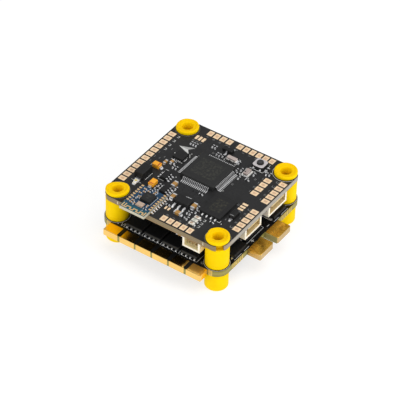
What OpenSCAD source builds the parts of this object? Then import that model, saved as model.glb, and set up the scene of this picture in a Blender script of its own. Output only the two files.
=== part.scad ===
// Flight controller stack for a small multirotor.
// A flight controller board sits over a four channel motor speed controller board.
// Both hang on soft grommets that take M3 screws on a square hole pattern.
// Millimetres. +Z is up, +Y is the direction of flight. The origin is the centre of
// the hole pattern, on the plane of the lowest grommet feet.

/* [Mounting] */
// Distance between neighbouring mounting holes
hole_pitch = 30.5; // [30.4:0.05:30.6]
// Radius of the screw hole through each grommet
screw_r = 1.5; // [1.4:0.05:1.6]
// Outer radius of a grommet
grommet_r = 3.05; // [2.95:0.01:3.06]
// Radius of the grommet neck that the board holds
neck_r = 2.0; // [1.9:0.05:2.1]
// Height of the grommet flange on top of a board
flange_h = 1.05; // [0.9:0.05:1.1]
// Length of the grommet column under a board
column_h = 5.4; // [5.3:0.1:6.0]

/* [Flight controller board] */
// Board material left around each hole
fc_rim = 3.15; // [3.12:0.01:3.2]
// Board thickness
fc_t = 1.55; // [1.5:0.05:1.6]
// Width of the open slot from each hole to the corner
corner_slot_w = 2.0; // [1.6:0.1:2.4]
// Length of an edge solder pad
pad_l = 1.9; // [1.7:0.05:1.95]
// Width of an edge solder pad
pad_w = 1.5; // [1.3:0.05:1.6]
// Pitch of the edge solder pads
pad_pitch = 1.965; // [1.95:0.005:1.97]
// Thickness of a plated solder pad
pad_t = 0.05; // [0.04:0.01:0.06]

/* [Speed controller board] */
// Board material left around each hole
esc_rim = 3.4; // [3.35:0.05:3.45]
// Board thickness
esc_t = 1.8; // [1.6:0.05:2.0]
// How far the motor pad row reaches from the centre
motor_pad_x = 21.95; // [21.5:0.05:22.2]
// Depth of a motor pad
motor_pad_depth = 3.05; // [2.8:0.05:3.1]
// Pitch of the motor pads
motor_pad_pitch = 5.1; // [5.0:0.05:5.1]
// How far the battery pads reach from the centre
battery_pad_y = 22.65; // [22.2:0.05:23]
// Thickness of the heavy plating
plating_t = 0.06; // [0.05:0.01:0.07]

/* [Processor] */
// Side of the processor's square body
mcu_w = 10; // [9.9:0.1:10]
// Height of the processor
mcu_h = 1.45; // [1.4:0.05:1.5]
// Leads on each side of the processor
mcu_leads_per_side = 16; // [12:1:16]
// Lead pitch of the processor
mcu_pitch = 0.5; // [0.5:0.05:0.55]

/* [Boot button] */
// Side of the button
button_w = 3.2; // [3.1:0.05:3.25]
// Height of the button's metal cover
button_h = 1.1; // [1.05:0.05:1.2]
// Radius of the plunger above the cover
plunger_r = 0.87; // [0.8:0.01:1.0]
// How far the plunger stands above the cover at rest
plunger_up = 0.42; // [0.35:0.01:0.45]

/* [Connectors] */
// Contact pitch of the side entry connectors
sh_pitch = 1.0; // [1.0:0.05:1.05]
// Height of a side entry connector
sh_h = 2.95; // [2.9:0.05:3.0]
// Depth of a side entry connector
sh_d = 4.25; // [4.2:0.05:4.3]

/* [Hidden] */
$fn = 48;
half = hole_pitch / 2;
esc_z0 = column_h;
esc_z1 = esc_z0 + esc_t;
fc_z0 = esc_z1 + flange_h + column_h;
fc_z1 = fc_z0 + fc_t;
fc_half = half + fc_rim;
esc_half = half + esc_rim;
mcu_at = [3.3, 0.6];
button_at = [13.65, -8.5];
bt_box = [-20.35, 3.45, -10.6, 10.95];
bt_t = 0.85;
bt_z1 = fc_z1 + bt_t;
corners = [[-1, -1], [1, -1], [-1, 1], [1, 1]];
// Speed controller transistors: x, y and turn
fet_places = concat(
    [for (s = [-1, 1]) for (i = [-1.5 : 1 : 1.5]) [s * 14.8, i * 5.6, s < 0 ? 0 : 180]],
    [for (t = [-1, 1]) for (s = [-1, 1]) [s * 8.9, t * 15.6, s < 0 ? 0 : 180]]);
// Small chip resistors on the flight controller: x, y and turn
resistor_places = [
    [13.0, 5.55, 0], [13.0, 4.7, 0], [11.1, 2.95, 0], [11.0, 2.1, 0], [11.3, 1.25, 0],
    [10.8, 10.8, 0], [10.8, 10.0, 0], [10.8, 9.2, 0], [8.8, -4.7, 0], [9.6, -5.65, 0],
    [7.9, -5.7, 90], [6.5, -6.8, 0], [7.0, -8.9, 90], [9.9, -9.25, 0], [11.9, -11.7, 0],
    [12.2, -12.5, 0], [0.3, 9.0, 0], [0.3, 8.1, 0], [-12.5, 1.7, 90], [-14.0, -4.0, 90],
    [-13.8, -5.2, 0], [-11.9, -4.0, 0], [-11.9, -4.8, 0], [-8.9, -5.0, 0], [-10.5, -5.6, 0],
    [-11.5, -10.8, 90], [-9.95, 7.0, 90], [-6.2, 3.6, 0], [-4.4, -2.6, 90], [-7.6, 7.75, 0],
    [-8.9, 8.0, 0], [11.4, -3.6, 0], [1.7, 9.6, 0]];
// Small chip capacitors on the flight controller: x, y and turn
small_cap_places = [[0.6, 11.8, 0], [1.7, 10.5, 0], [13.2, -10.95, 0]];
// Larger chip capacitors on the flight controller: x, y and turn
large_cap_places = [[-5.3, 4.75, 0], [-9.4, 2.3, 0], [-13.7, -2.15, 90], [-9.3, -4.0, 0]];
// Chip capacitors under the flight controller
under_cap_places = [[-17.3, -5.6, 90], [3.6, -9.2, 90], [3.6, -5.8, 90], [-12.2, -6.2, 90], [-12.2, -9.0, 90], [-9.3, 5.0, 90]];

// ---- placing ----

module on_fc(x, y, a = 0) translate([x, y, fc_z1]) rotate([0, 0, a]) children();
module under_fc(x, y, a = 0) translate([x, y, fc_z0]) mirror([0, 0, 1]) rotate([0, 0, a]) children();
module on_esc(x, y, a = 0) translate([x, y, esc_z1]) rotate([0, 0, a]) children();
module under_esc(x, y, a = 0) translate([x, y, esc_z0]) mirror([0, 0, 1]) rotate([0, 0, a]) children();

// A block that is centred in plan and starts at height z
module block(w, d, h, z = 0) translate([-w / 2, -d / 2, z]) cube([w, d, h]);

// A chip body with a chamfer round its top edge
module chip_body(w, d, h, z = 0, c = 0.1)
    intersection() {
        block(w, d, h, z);
        rotate([90, 0, 0]) translate([0, 0, -d]) linear_extrude(2 * d)
            polygon([[-w / 2, z], [w / 2, z], [w / 2, z + h - c], [w / 2 - c, z + h], [c - w / 2, z + h], [-w / 2, z + h - c]]);
        rotate([90, 0, 90]) translate([0, 0, -w]) linear_extrude(2 * w)
            polygon([[-d / 2, z], [d / 2, z], [d / 2, z + h - c], [d / 2 - c, z + h], [c - d / 2, z + h], [-d / 2, z + h - c]]);
    }

// One bent lead that leaves a body at x = 0 and height drop, and stands on a foot
module gull_lead(reach, drop, t, w)
    rotate([90, 0, 0]) translate([0, 0, -w / 2]) linear_extrude(w)
        let (a = reach * 0.28, b = reach * 0.52)
        polygon([[0, drop], [a - t / 2, drop], [b - t / 2, 0], [reach, 0], [reach, t],
            [b + t / 2, t], [a + t / 2, drop + t], [0, drop + t]]);

// The two end caps of a chip part, or the body between them
module chip_ends(l, w, h, cap)
    for (s = [-1, 1]) translate([s * (l - cap) / 2, 0, 0]) block(cap, w, h);
module chip_middle(l, w, h, cap) block(l - 2 * cap, w, h);

// ---- grommets ----

module grommet(board_z, board_t)
    translate([0, 0, board_z])
        rotate_extrude()
            polygon([
                [screw_r, -column_h], [grommet_r - 0.08, -column_h], [grommet_r, 0.08 - column_h],
                [grommet_r, -0.08], [grommet_r - 0.08, 0], [neck_r, 0], [neck_r, board_t],
                [grommet_r - 0.12, board_t], [grommet_r, board_t + 0.12],
                [grommet_r, board_t + flange_h - 0.3], [grommet_r - 0.1, board_t + flange_h - 0.1],
                [grommet_r - 0.3, board_t + flange_h], [screw_r + 0.15, board_t + flange_h],
                [screw_r, board_t + flange_h - 0.15]]);

module fc_grommets()
    color([1, 0.8, 0]) for (c = corners) translate([c[0] * half, c[1] * half, 0]) grommet(fc_z0, fc_t);

module esc_grommets()
    color([1, 0.8, 0]) for (c = corners) translate([c[0] * half, c[1] * half, 0]) grommet(esc_z0, esc_t);

// ---- flight controller board ----

module fc_board()
    color([0.17, 0.17, 0.18])
        translate([0, 0, fc_z0]) linear_extrude(fc_t) difference() {
            union() {
                square([2 * fc_half, hole_pitch], center = true);
                square([hole_pitch, 2 * fc_half], center = true);
                for (c = corners) translate([c[0] * half, c[1] * half]) circle(fc_rim);
            }
            for (c = corners) translate([c[0] * half, c[1] * half]) {
                circle(neck_r);
                rotate(atan2(c[1], c[0])) translate([0, -corner_slot_w / 2]) square([2 * fc_rim, corner_slot_w]);
            }
        }

// A row of n pads from a first centre, stepping along x or y
module pad_row(first, n, dir, w, d)
    for (i = [0 : n - 1])
        on_fc(first[0] + dir[0] * i * pad_pitch, first[1] + dir[1] * i * pad_pitch) block(w, d, pad_t);

module fc_solder_pads()
    color([0.98, 0.84, 0.68]) {
        pad_row([-10.7, 17.05], 12, [1, 0], pad_w, pad_l);
        pad_row([16.95, 9.05], 4, [0, -1], pad_l, pad_w);
        pad_row([16.95, -0.1], 6, [0, -1], pad_l, pad_w);
        pad_row([-17.05, -0.3], 5, [0, -1], pad_l, pad_w);
        pad_row([-9.8, -17.15], 5, [1, 0], pad_w, pad_l);
        pad_row([3.05, -17.15], 5, [1, 0], pad_w, pad_l);
        pad_row([4.05, -13.2], 4, [1, 0], pad_w, pad_l);
    }

module fc_jumper_pads()
    color([1, 0.87, 0.6]) {
        for (y = [11.15, 10.1, 9.05]) on_fc(13.7, y) block(1.6, 0.7, pad_t);
        for (x = [-3.1, -2.05, -0.95]) on_fc(x, -13.75) block(0.7, 1.5, pad_t);
        for (y = [1.6, 0.7]) on_fc(-13.5, y) block(1.1, 0.5, pad_t);
    }

// ---- processor ----

module processor_body()
    color([0.2, 0.2, 0.21]) on_fc(mcu_at[0], mcu_at[1])
        difference() {
            chip_body(mcu_w, mcu_w, mcu_h - 0.1, 0.1, 0.15);
            translate([0.75 - mcu_w / 2, mcu_w / 2 - 0.75, mcu_h - 0.04]) cylinder(r = 0.35, h = 1);
        }

module processor_leads()
    color([0.75, 0.75, 0.76]) on_fc(mcu_at[0], mcu_at[1])
        for (a = [0 : 90 : 270]) rotate([0, 0, a])
            for (i = [0 : mcu_leads_per_side - 1])
                translate([mcu_w / 2, (i - (mcu_leads_per_side - 1) / 2) * mcu_pitch, 0])
                    gull_lead(1.3, 0.65, 0.12, 0.24);

// ---- other chips on top ----

module flash_chip()
    color([0.19, 0.19, 0.2]) on_fc(-5.9, -9.1) difference() {
        chip_body(8, 6, 0.8, 0, 0.05);
        translate([-3.2, -2.2, 0.77]) cylinder(r = 0.3, h = 1);
    }

module flash_terminals()
    color([0.85, 0.85, 0.86]) on_fc(-5.9, -9.1)
        for (s = [-1, 1]) for (i = [-1.5 : 1 : 1.5]) translate([s * 4.25, i * 1.27, 0]) block(0.5, 0.4, 0.2);

module gyro_chip()
    color([0.16, 0.16, 0.17]) on_fc(4.6, 9.9) difference() {
        chip_body(3, 3, 0.9, 0, 0.05);
        translate([-1.1, 1.1, 0.87]) cylinder(r = 0.18, h = 1);
    }

module barometer_can()
    color([0.75, 0.7, 0.7]) on_fc(9.3, -7.45) difference() {
        union() {
            block(2.5, 2.0, 0.3);
            chip_body(2.3, 1.2, 0.65, 0.3, 0.12);
        }
        translate([-0.49, 0.29, 0.6]) cylinder(r = 0.17, h = 1);
    }

module crystal_can()
    color([0.8, 0.76, 0.76]) on_fc(11.45, -1.35) {
        block(1.3, 2.9, 0.3);
        chip_body(1.1, 2.7, 0.55, 0.3, 0.08);
    }

// ---- boot button ----

module boot_button_base()
    color([0.1, 0.1, 0.1]) on_fc(button_at[0], button_at[1])
        difference() {
            block(button_w - 0.1, button_w - 0.1, button_h - 0.15);
            translate([0, 0, 0.25]) cylinder(r = 1.3, h = 2);
        }

module boot_button_cover()
    color([0.8, 0.8, 0.82]) on_fc(button_at[0], button_at[1])
        difference() {
            translate([0, 0, button_h - 0.15]) linear_extrude(0.15)
                polygon([for (k = [[1, 1], [-1, 1], [-1, -1], [1, -1]])
                    for (j = [0, 1])
                        let (h = button_w / 2, c = 0.5, first = (k[0] * k[1] > 0) ? j : 1 - j)
                        first == 0 ? [k[0] * h, k[1] * (h - c)] : [k[0] * (h - c), k[1] * h]]);
            cylinder(r = plunger_r + 0.06, h = 4);
        }

// The sprung metal dome that the plunger flattens
module boot_button_dome()
    color([0.8, 0.8, 0.82]) on_fc(button_at[0], button_at[1])
        translate([0, 0, 0.25]) cylinder(r = 1.1, h = 0.06);

module boot_button_plunger()
    color([0.08, 0.08, 0.09]) on_fc(button_at[0], button_at[1]) {
        translate([0, 0, button_h - 0.5]) cylinder(r = plunger_r, h = 0.5 + plunger_up);
        translate([0, 0, button_h - 0.5]) cylinder(r = 1.22, h = 0.3);
    }

// ---- capacitors, diodes and lamps ----

module tantalum_capacitors()
    color([0.97, 0.68, 0.2]) {
        on_fc(-1.95, 12.65) chip_body(1.5, 2.1, 1.1, 0.05, 0.1);
        on_fc(-8.2, 9.4) chip_body(2.2, 1.5, 1.1, 0.05, 0.1);
    }

module tantalum_terminals()
    color([0.85, 0.85, 0.86]) {
        for (s = [-1, 1]) on_fc(-1.95, 12.65 + s * 1.2) block(1.0, 0.3, 0.5);
        for (s = [-1, 1]) on_fc(-8.2 + s * 1.25, 9.4) block(0.3, 1.0, 0.5);
    }

module power_diode()
    color([0.13, 0.13, 0.14]) on_fc(-6.45, 13.6) chip_body(4.3, 2.6, 2.1, 0.1, 0.15);

module power_diode_terminals()
    color([0.85, 0.85, 0.86]) on_fc(-6.45, 13.6)
        for (s = [-1, 1]) translate([s * 2.4, 0, 0]) block(0.5, 1.5, 0.35);

module status_led()
    color([0.95, 0.94, 0.85]) on_fc(-10.0, 13.4) {
        chip_middle(1.7, 0.9, 0.6, 0.3);
        chip_ends(1.7, 0.9, 0.35, 0.3);
    }

module signal_leds()
    color([0.95, 0.94, 0.9]) for (x = [-14.88, -13.63, -12.38]) on_fc(x, -7.2) {
        chip_middle(0.9, 1.6, 0.6, 0);
        translate([0, 0, 0.6]) block(0.6, 0.9, 0.08);
    }

// Six lead packages: x, y, turn, and true where it sits under the board
module driver_chips()
    color([0.17, 0.17, 0.18]) {
        on_fc(-4.0, 8.45) chip_body(2.9, 1.6, 1.0, 0.1, 0.1);
        on_fc(-8.4, 5.55) chip_body(2.9, 1.6, 1.0, 0.1, 0.1);
        for (y = [-4.6, -10.2]) under_fc(8.4, y) chip_body(2.9, 1.6, 1.0, 0.1, 0.1);
    }

module six_leads()
    for (s = [-1, 1]) for (i = [-1 : 1]) translate([i * 0.95, s * 0.8, 0])
        rotate([0, 0, s * 90]) gull_lead(0.85, 0.5, 0.15, 0.38);

module driver_chip_leads()
    color([0.85, 0.85, 0.86]) {
        on_fc(-4.0, 8.45) six_leads();
        on_fc(-8.4, 5.55) six_leads();
        for (y = [-4.6, -10.2]) under_fc(8.4, y) six_leads();
    }

module voltage_regulator()
    color([0.17, 0.17, 0.18]) on_fc(-9.7, -1.05) chip_body(2.6, 4.3, 1.4, 0.1, 0.15);

module voltage_regulator_leads()
    color([0.85, 0.85, 0.86]) on_fc(-9.7, -1.05) {
        for (i = [-1 : 1]) translate([-1.85, i * 1.5, 0]) block(1.1, 0.5, 0.4);
        translate([1.8, 0, 0]) block(1.0, 1.6, 0.4);
    }

// A small diode by the jumper pads and a three lead transistor by the right hand pads
module small_signal_parts()
    color([0.15, 0.15, 0.16]) {
        on_fc(-6.15, -13.95) chip_body(2.7, 1.5, 1.0, 0.1, 0.1);
        on_fc(13.7, 1.35) chip_body(1.3, 2.9, 0.9, 0.1, 0.1);
    }

module small_signal_leads()
    color([0.85, 0.85, 0.86]) {
        on_fc(-6.15, -13.95) for (s = [-1, 1]) translate([s * 1.65, 0, 0]) block(0.6, 0.8, 0.25);
        on_fc(14.35, 0.4) gull_lead(0.65, 0.45, 0.14, 0.4);
        on_fc(14.35, 2.3) gull_lead(0.65, 0.45, 0.14, 0.4);
        on_fc(13.05, 1.35, 180) gull_lead(0.65, 0.45, 0.14, 0.4);
    }

module ceramic_capacitors()
    color([0.68, 0.5, 0.33]) {
        for (p = large_cap_places) on_fc(p[0], p[1], p[2]) chip_middle(2.0, 1.1, 0.75, 0.4);
        for (p = small_cap_places) on_fc(p[0], p[1], p[2]) chip_middle(1.5, 0.75, 0.5, 0.35);
        for (p = under_cap_places) under_fc(p[0], p[1], p[2]) chip_middle(2.0, 1.2, 0.8, 0.45);
        for (x = [-7.5, -4.5, 4.5, 7.5]) under_esc(x, -11.2, 90) chip_middle(3.0, 1.6, 1.2, 0.5);
        for (x = [-7.5, -4.5, 4.5, 7.5]) under_esc(x, 11.2, 90) chip_middle(3.0, 1.6, 1.2, 0.5);
    }

module ceramic_capacitor_ends()
    color([0.85, 0.85, 0.86]) {
        for (p = large_cap_places) on_fc(p[0], p[1], p[2]) chip_ends(2.0, 1.1, 0.77, 0.4);
        for (p = small_cap_places) on_fc(p[0], p[1], p[2]) chip_ends(1.5, 0.75, 0.52, 0.35);
        for (p = under_cap_places) under_fc(p[0], p[1], p[2]) chip_ends(2.0, 1.2, 0.82, 0.45);
        for (x = [-7.5, -4.5, 4.5, 7.5]) under_esc(x, -11.2, 90) chip_ends(3.0, 1.6, 1.22, 0.5);
        for (x = [-7.5, -4.5, 4.5, 7.5]) under_esc(x, 11.2, 90) chip_ends(3.0, 1.6, 1.22, 0.5);
    }

module chip_resistors()
    color([0.12, 0.12, 0.13]) for (p = resistor_places) on_fc(p[0], p[1], p[2]) chip_middle(1.0, 0.5, 0.34, 0.25);

module chip_resistor_ends()
    color([0.88, 0.88, 0.89]) for (p = resistor_places) on_fc(p[0], p[1], p[2]) chip_ends(1.0, 0.5, 0.36, 0.25);

// ---- radio module ----

module radio_board()
    color([0.05, 0.22, 0.4])
        translate([0, 0, fc_z1]) linear_extrude(bt_t) difference() {
            translate([bt_box[0], bt_box[1]]) square([bt_box[2] - bt_box[0], bt_box[3] - bt_box[1]]);
            for (y = [bt_box[1], bt_box[3]]) for (i = [0 : 7]) translate([-17.25 + i * 0.91, y]) circle(0.22, $fn = 24);
        }

// Plated half holes along both long edges, each with its solder joint on the board below
module radio_castellations()
    color([0.95, 0.8, 0.5]) for (s = [-1, 1]) for (i = [0 : 7])
        translate([-17.25 + i * 0.91, s < 0 ? bt_box[1] : bt_box[3], 0]) {
            translate([-0.25, s < 0 ? 0 : -0.7, bt_z1]) cube([0.5, 0.7, 0.03]);
            translate([-0.25, s < 0 ? -0.45 : 0.1, fc_z1]) cube([0.5, 0.35, 0.18]);
        }

// Centre lines of the antenna track: x and y of the low end, x and y of the high end
antenna_runs = [[-19.95, 10.55, -18.75, 10.55], [-19.95, 9.25, -19.95, 10.55], [-19.95, 9.85, -18.75, 9.85], [-19.95, 9.25, -19.3, 9.25],
    [-19.3, 8.15, -19.3, 9.25], [-19.95, 8.15, -19.3, 8.15], [-19.95, 7.2, -19.95, 8.15], [-19.95, 7.2, -19.3, 7.2],
    [-19.3, 6.2, -19.3, 7.2], [-19.95, 6.2, -19.3, 6.2], [-19.95, 5.25, -19.95, 6.2], [-19.95, 5.25, -19.3, 5.25],
    [-19.3, 4.4, -19.3, 5.25], [-19.95, 4.4, -19.3, 4.4], [-19.95, 3.85, -19.95, 4.4], [-19.95, 3.85, -18.9, 3.85]];

module radio_antenna()
    color([0.95, 0.8, 0.5]) translate([0, 0, bt_z1]) linear_extrude(0.03) union() {
        for (q = antenna_runs) translate([q[0] - 0.15, q[1] - 0.15]) square([q[2] - q[0] + 0.3, q[3] - q[1] + 0.3]);
    }

module radio_chip()
    color([0.16, 0.17, 0.17]) translate([-14.35, 6.45, bt_z1]) difference() {
        chip_body(3.1, 3, 0.85, 0, 0.05);
        translate([-1.15, 1.1, 0.82]) cylinder(r = 0.2, h = 1);
    }

module radio_crystal()
    color([0.85, 0.78, 0.66]) translate([-17.25, 6.8, bt_z1]) {
        block(1.6, 2.0, 0.25);
        chip_body(1.35, 1.75, 0.25, 0.25, 0.06);
    }

// ---- connectors ----

// A side entry housing for n contacts: mouth at y = 0, board side at z = 0, body towards +y
module sh_housing(n) {
    w = (n - 1) * sh_pitch + 3.2;
    color([0.95, 0.92, 0.85]) difference() {
        translate([-w / 2, 0, 0]) cube([w, sh_d, sh_h]);
        translate([0.6 - w / 2, -1, 0.45]) cube([w - 1.2, sh_d - 0.1, sh_h - 1.0]);
        for (s = [-1, 1]) translate([s * (w / 2 - 0.95) - 0.35, -1, -1]) cube([0.7, 2.6, 1.6]);
    }
}

// The contacts and the two solder tabs of such a housing
module sh_contacts(n) {
    w = (n - 1) * sh_pitch + 3.2;
    for (i = [0 : n - 1]) translate([(i - (n - 1) / 2) * sh_pitch - 0.11, 0, 0]) {
        translate([0, 0.8, 1.3]) cube([0.22, sh_d - 1.9, 0.22]);
        translate([0, sh_d, 0]) cube([0.22, 0.6, 0.2]);
    }
    for (s = [-1, 1]) translate([s * (w / 2 + 0.1) - 0.1, 0.5, 0]) cube([0.2, 1.6, 1.1]);
}

module receiver_place() under_fc(-fc_half, -9.5, -90) children();
module camera_place() under_fc(-4.1, -fc_half) children();
module video_place() under_fc(6.9, -fc_half) children();
module upper_harness_place() under_fc(0, fc_half, 180) children();
module lower_harness_place() on_esc(0, esc_half, 180) children();

module receiver_connector() receiver_place() sh_housing(3);
module camera_connector() camera_place() sh_housing(5);
module video_connector() video_place() sh_housing(6);
module harness_connector_upper() upper_harness_place() sh_housing(8);
module harness_connector_lower() lower_harness_place() sh_housing(8);

module connector_contacts()
    color([0.85, 0.83, 0.78]) {
        receiver_place() sh_contacts(3);
        camera_place() sh_contacts(5);
        video_place() sh_contacts(6);
        upper_harness_place() sh_contacts(8);
        lower_harness_place() sh_contacts(8);
    }

// A rounded slot outline for the charging and data port
module port_outline(w, h, r) {
    square([w - 2 * r, h], center = true);
    for (s = [-1, 1]) translate([s * (w / 2 - r), 0]) {
        square([2 * r, h - 2 * r], center = true);
        for (t = [-1, 1]) translate([0, t * (h / 2 - r)]) circle(r);
    }
}

module usb_place() translate([fc_half + 0.8, 3.5, fc_z0 - 1.62]) rotate([90, 0, -90]) children();

module usb_shell()
    color([0.8, 0.8, 0.82]) usb_place() difference() {
        linear_extrude(7.3) port_outline(8.94, 3.2, 1.2);
        translate([0, 0, -1]) linear_extrude(7.3) port_outline(8.34, 2.6, 1.0);
    }

module usb_tongue()
    color([0.1, 0.1, 0.1]) usb_place() {
        translate([-3.3, -0.35, 0.7]) cube([6.6, 0.7, 4.6]);
        translate([-3.5, -1.2, 5.3]) cube([7.0, 2.4, 1.0]);
    }

// ---- under the flight controller ----

module display_chip()
    color([0.17, 0.17, 0.18]) under_fc(-2.5, 5.0) chip_body(9.7, 4.4, 1.0, 0.1, 0.1);

module display_chip_leads()
    color([0.78, 0.78, 0.79]) under_fc(-2.5, 5.0)
        for (s = [-1, 1]) for (i = [0 : 13]) translate([(i - 6.5) * 0.65, s * 2.2, 0])
            rotate([0, 0, s * 90]) gull_lead(1.0, 0.5, 0.12, 0.25);

module power_inductors()
    color([0.3, 0.3, 0.31]) for (x = [-8.6, -0.6]) under_fc(x, -7.6) {
        chip_body(4.2, 4.2, 2.0, 0.1, 0.3);
        for (s = [-1, 1]) translate([s * 1.7, 0, 0]) block(0.9, 3.0, 0.1);
    }

// ---- speed controller board ----

// Plan outline of the row of motor pads on the left, pulled in by i
function motor_row(i) = let (x = motor_pad_x - i, y = 14.85 - i, c = 0.2)
    [[-x, c - y], [c - x, -y], [-17, -y], [-17, y], [c - x, y], [-x, y - c]];

// Plan outline of the minus battery pad, pulled in by i on its plated edges
function battery_tab(i) = let (y = battery_pad_y - i)
    [[i - 6.9, -17], [i - 6.9, 0.25 - y], [i - 6.65, -y], [-1.25, -y], [-1, 0.25 - y], [-1, -17]];

module esc_outline() difference() {
    union() {
        square([2 * esc_half, hole_pitch], center = true);
        square([hole_pitch, 2 * esc_half], center = true);
        for (c = corners) translate([c[0] * half, c[1] * half]) circle(esc_rim);
        for (m = [0, 1]) mirror([m, 0]) {
            polygon(motor_row(plating_t));
            polygon(battery_tab(plating_t));
        }
    }
    for (c = corners) translate([c[0] * half, c[1] * half]) circle(neck_r);
}

module esc_board()
    color([0.13, 0.13, 0.13]) translate([0, 0, esc_z0]) linear_extrude(esc_t) esc_outline();

// Ends of the six motor pads along y
motor_pad_ends = [for (i = [0 : 5])
    let (c = (i - 2.5) * motor_pad_pitch)
    [i == 0 ? -15 : c - motor_pad_pitch / 2 + (i == 1 ? 0.35 : 0.25),
     i == 5 ? 15 : c + motor_pad_pitch / 2 - (i == 4 ? 0.35 : 0.25)]];

// Heavy plated pads that wrap the board edge from top to bottom
module motor_pads()
    for (e = motor_pad_ends)
        difference() {
            intersection() {
                translate([-motor_pad_x - 1, e[0], esc_z0 - plating_t]) cube([motor_pad_depth + 1, e[1] - e[0], esc_t + 2 * plating_t]);
                translate([0, 0, esc_z0 - 1]) linear_extrude(esc_t + 2) polygon(motor_row(0));
            }
            translate([0, 0, esc_z0]) linear_extrude(esc_t) polygon(motor_row(plating_t));
        }

module motor_pads_left() color([0.9, 0.66, 0.2]) motor_pads();
module motor_pads_right() color([0.9, 0.66, 0.2]) mirror([1, 0, 0]) motor_pads();

module battery_pad()
    difference() {
        intersection() {
            translate([-8, -25, esc_z0 - plating_t]) cube([8, 25 - esc_half - 0.05, esc_t + 2 * plating_t]);
            translate([0, 0, esc_z0 - 1]) linear_extrude(esc_t + 2) polygon(battery_tab(0));
        }
        translate([0, 0, esc_z0]) linear_extrude(esc_t) polygon(battery_tab(plating_t));
    }

module battery_pad_minus() color([0.8, 0.58, 0.16]) battery_pad();
module battery_pad_plus() color([0.8, 0.58, 0.16]) mirror([1, 0, 0]) battery_pad();

// Power transistors: leads towards -x before the turn
module both_faces() for (p = fet_places) {
    on_esc(p[0], p[1], p[2]) children();
    under_esc(p[0], p[1], p[2]) children();
}

module power_transistors() color([0.11, 0.11, 0.12]) both_faces() chip_body(5.6, 5.0, 1.0, 0, 0.08);

module power_transistor_terminals()
    color([0.82, 0.82, 0.83]) both_faces() {
        for (i = [-1.5 : 1 : 1.5]) translate([-3.0, i * 1.27, 0]) block(0.4, 0.5, 0.28);
        translate([2.95, 0, 0]) block(0.3, 4.2, 0.28);
    }

module motor_controller_chips()
    color([0.15, 0.15, 0.16]) for (x = [-6.6, 6.6]) for (y = [-4.2, 4.2]) under_esc(x, y) difference() {
        chip_body(4, 4, 0.85, 0, 0.05);
        translate([-1.5, 1.5, 0.82]) cylinder(r = 0.25, h = 1);
    }

module gate_driver_chips()
    color([0.15, 0.15, 0.16]) for (x = [-6.6, 6.6]) for (y = [-4.2, 4.2]) on_esc(x, y) difference() {
        chip_body(4, 4, 0.85, 0, 0.05);
        translate([-1.5, 1.5, 0.82]) cylinder(r = 0.25, h = 1);
    }

module surge_diode() color([0.1, 0.1, 0.11]) on_esc(-1.6, -14.3) chip_body(6.6, 5.6, 2.1, 0.1, 0.2);

module surge_diode_terminals()
    color([0.82, 0.82, 0.83]) on_esc(-1.6, -14.3) for (s = [-1, 1]) translate([s * 3.5, 0, 0]) block(0.4, 3.0, 0.5);

module current_shunt()
    color([0.35, 0.33, 0.3]) under_esc(0, -14.8, 90) {
        block(4.4, 3.0, 0.6);
        for (s = [-1, 1]) translate([s * 2.7, 0, 0]) block(1.0, 3.0, 0.5);
    }

fc_board();
fc_solder_pads();
fc_jumper_pads();
fc_grommets();
processor_body();
processor_leads();
flash_chip();
flash_terminals();
gyro_chip();
barometer_can();
crystal_can();
boot_button_base();
boot_button_cover();
boot_button_dome();
boot_button_plunger();
tantalum_capacitors();
tantalum_terminals();
power_diode();
power_diode_terminals();
status_led();
signal_leds();
driver_chips();
driver_chip_leads();
voltage_regulator();
voltage_regulator_leads();
small_signal_parts();
small_signal_leads();
ceramic_capacitors();
ceramic_capacitor_ends();
chip_resistors();
chip_resistor_ends();
radio_board();
radio_castellations();
radio_antenna();
radio_chip();
radio_crystal();
video_connector();
camera_connector();
receiver_connector();
harness_connector_upper();
harness_connector_lower();
connector_contacts();
usb_shell();
usb_tongue();
display_chip();
display_chip_leads();
power_inductors();
esc_board();
motor_pads_left();
motor_pads_right();
battery_pad_minus();
battery_pad_plus();
esc_grommets();
power_transistors();
power_transistor_terminals();
motor_controller_chips();
gate_driver_chips();
surge_diode();
surge_diode_terminals();
current_shunt();
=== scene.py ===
import math
import random

import bpy
from mathutils import Matrix, Vector


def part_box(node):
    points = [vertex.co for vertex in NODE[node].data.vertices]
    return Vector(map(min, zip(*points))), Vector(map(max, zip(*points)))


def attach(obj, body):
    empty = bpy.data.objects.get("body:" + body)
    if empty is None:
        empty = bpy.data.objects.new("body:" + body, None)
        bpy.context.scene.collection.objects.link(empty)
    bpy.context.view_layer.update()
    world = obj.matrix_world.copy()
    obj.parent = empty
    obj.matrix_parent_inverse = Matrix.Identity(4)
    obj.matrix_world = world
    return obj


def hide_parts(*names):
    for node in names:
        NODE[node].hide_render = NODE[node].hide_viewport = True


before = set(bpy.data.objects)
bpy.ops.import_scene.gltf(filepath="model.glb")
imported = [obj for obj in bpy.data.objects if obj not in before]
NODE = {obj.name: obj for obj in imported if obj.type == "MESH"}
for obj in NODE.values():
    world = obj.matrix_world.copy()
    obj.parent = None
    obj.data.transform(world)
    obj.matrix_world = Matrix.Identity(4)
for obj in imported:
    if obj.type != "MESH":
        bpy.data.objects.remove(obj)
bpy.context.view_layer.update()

MM = 0.001
rnd = random.Random(4711)

# heights, read from the frame (millimetres)
FC0, FC1 = (v.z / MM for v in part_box("fc_board"))
E0, E1 = (v.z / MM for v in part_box("esc_board"))
BT1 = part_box("radio_board")[1].z / MM
HALF = 15.25
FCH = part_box("fc_board")[1].x / MM
ESCH = 18.65


# ------------------------------------------------------------------ materials

def socket(bsdf, name, value):
    bsdf.inputs[name].default_value = value


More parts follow.
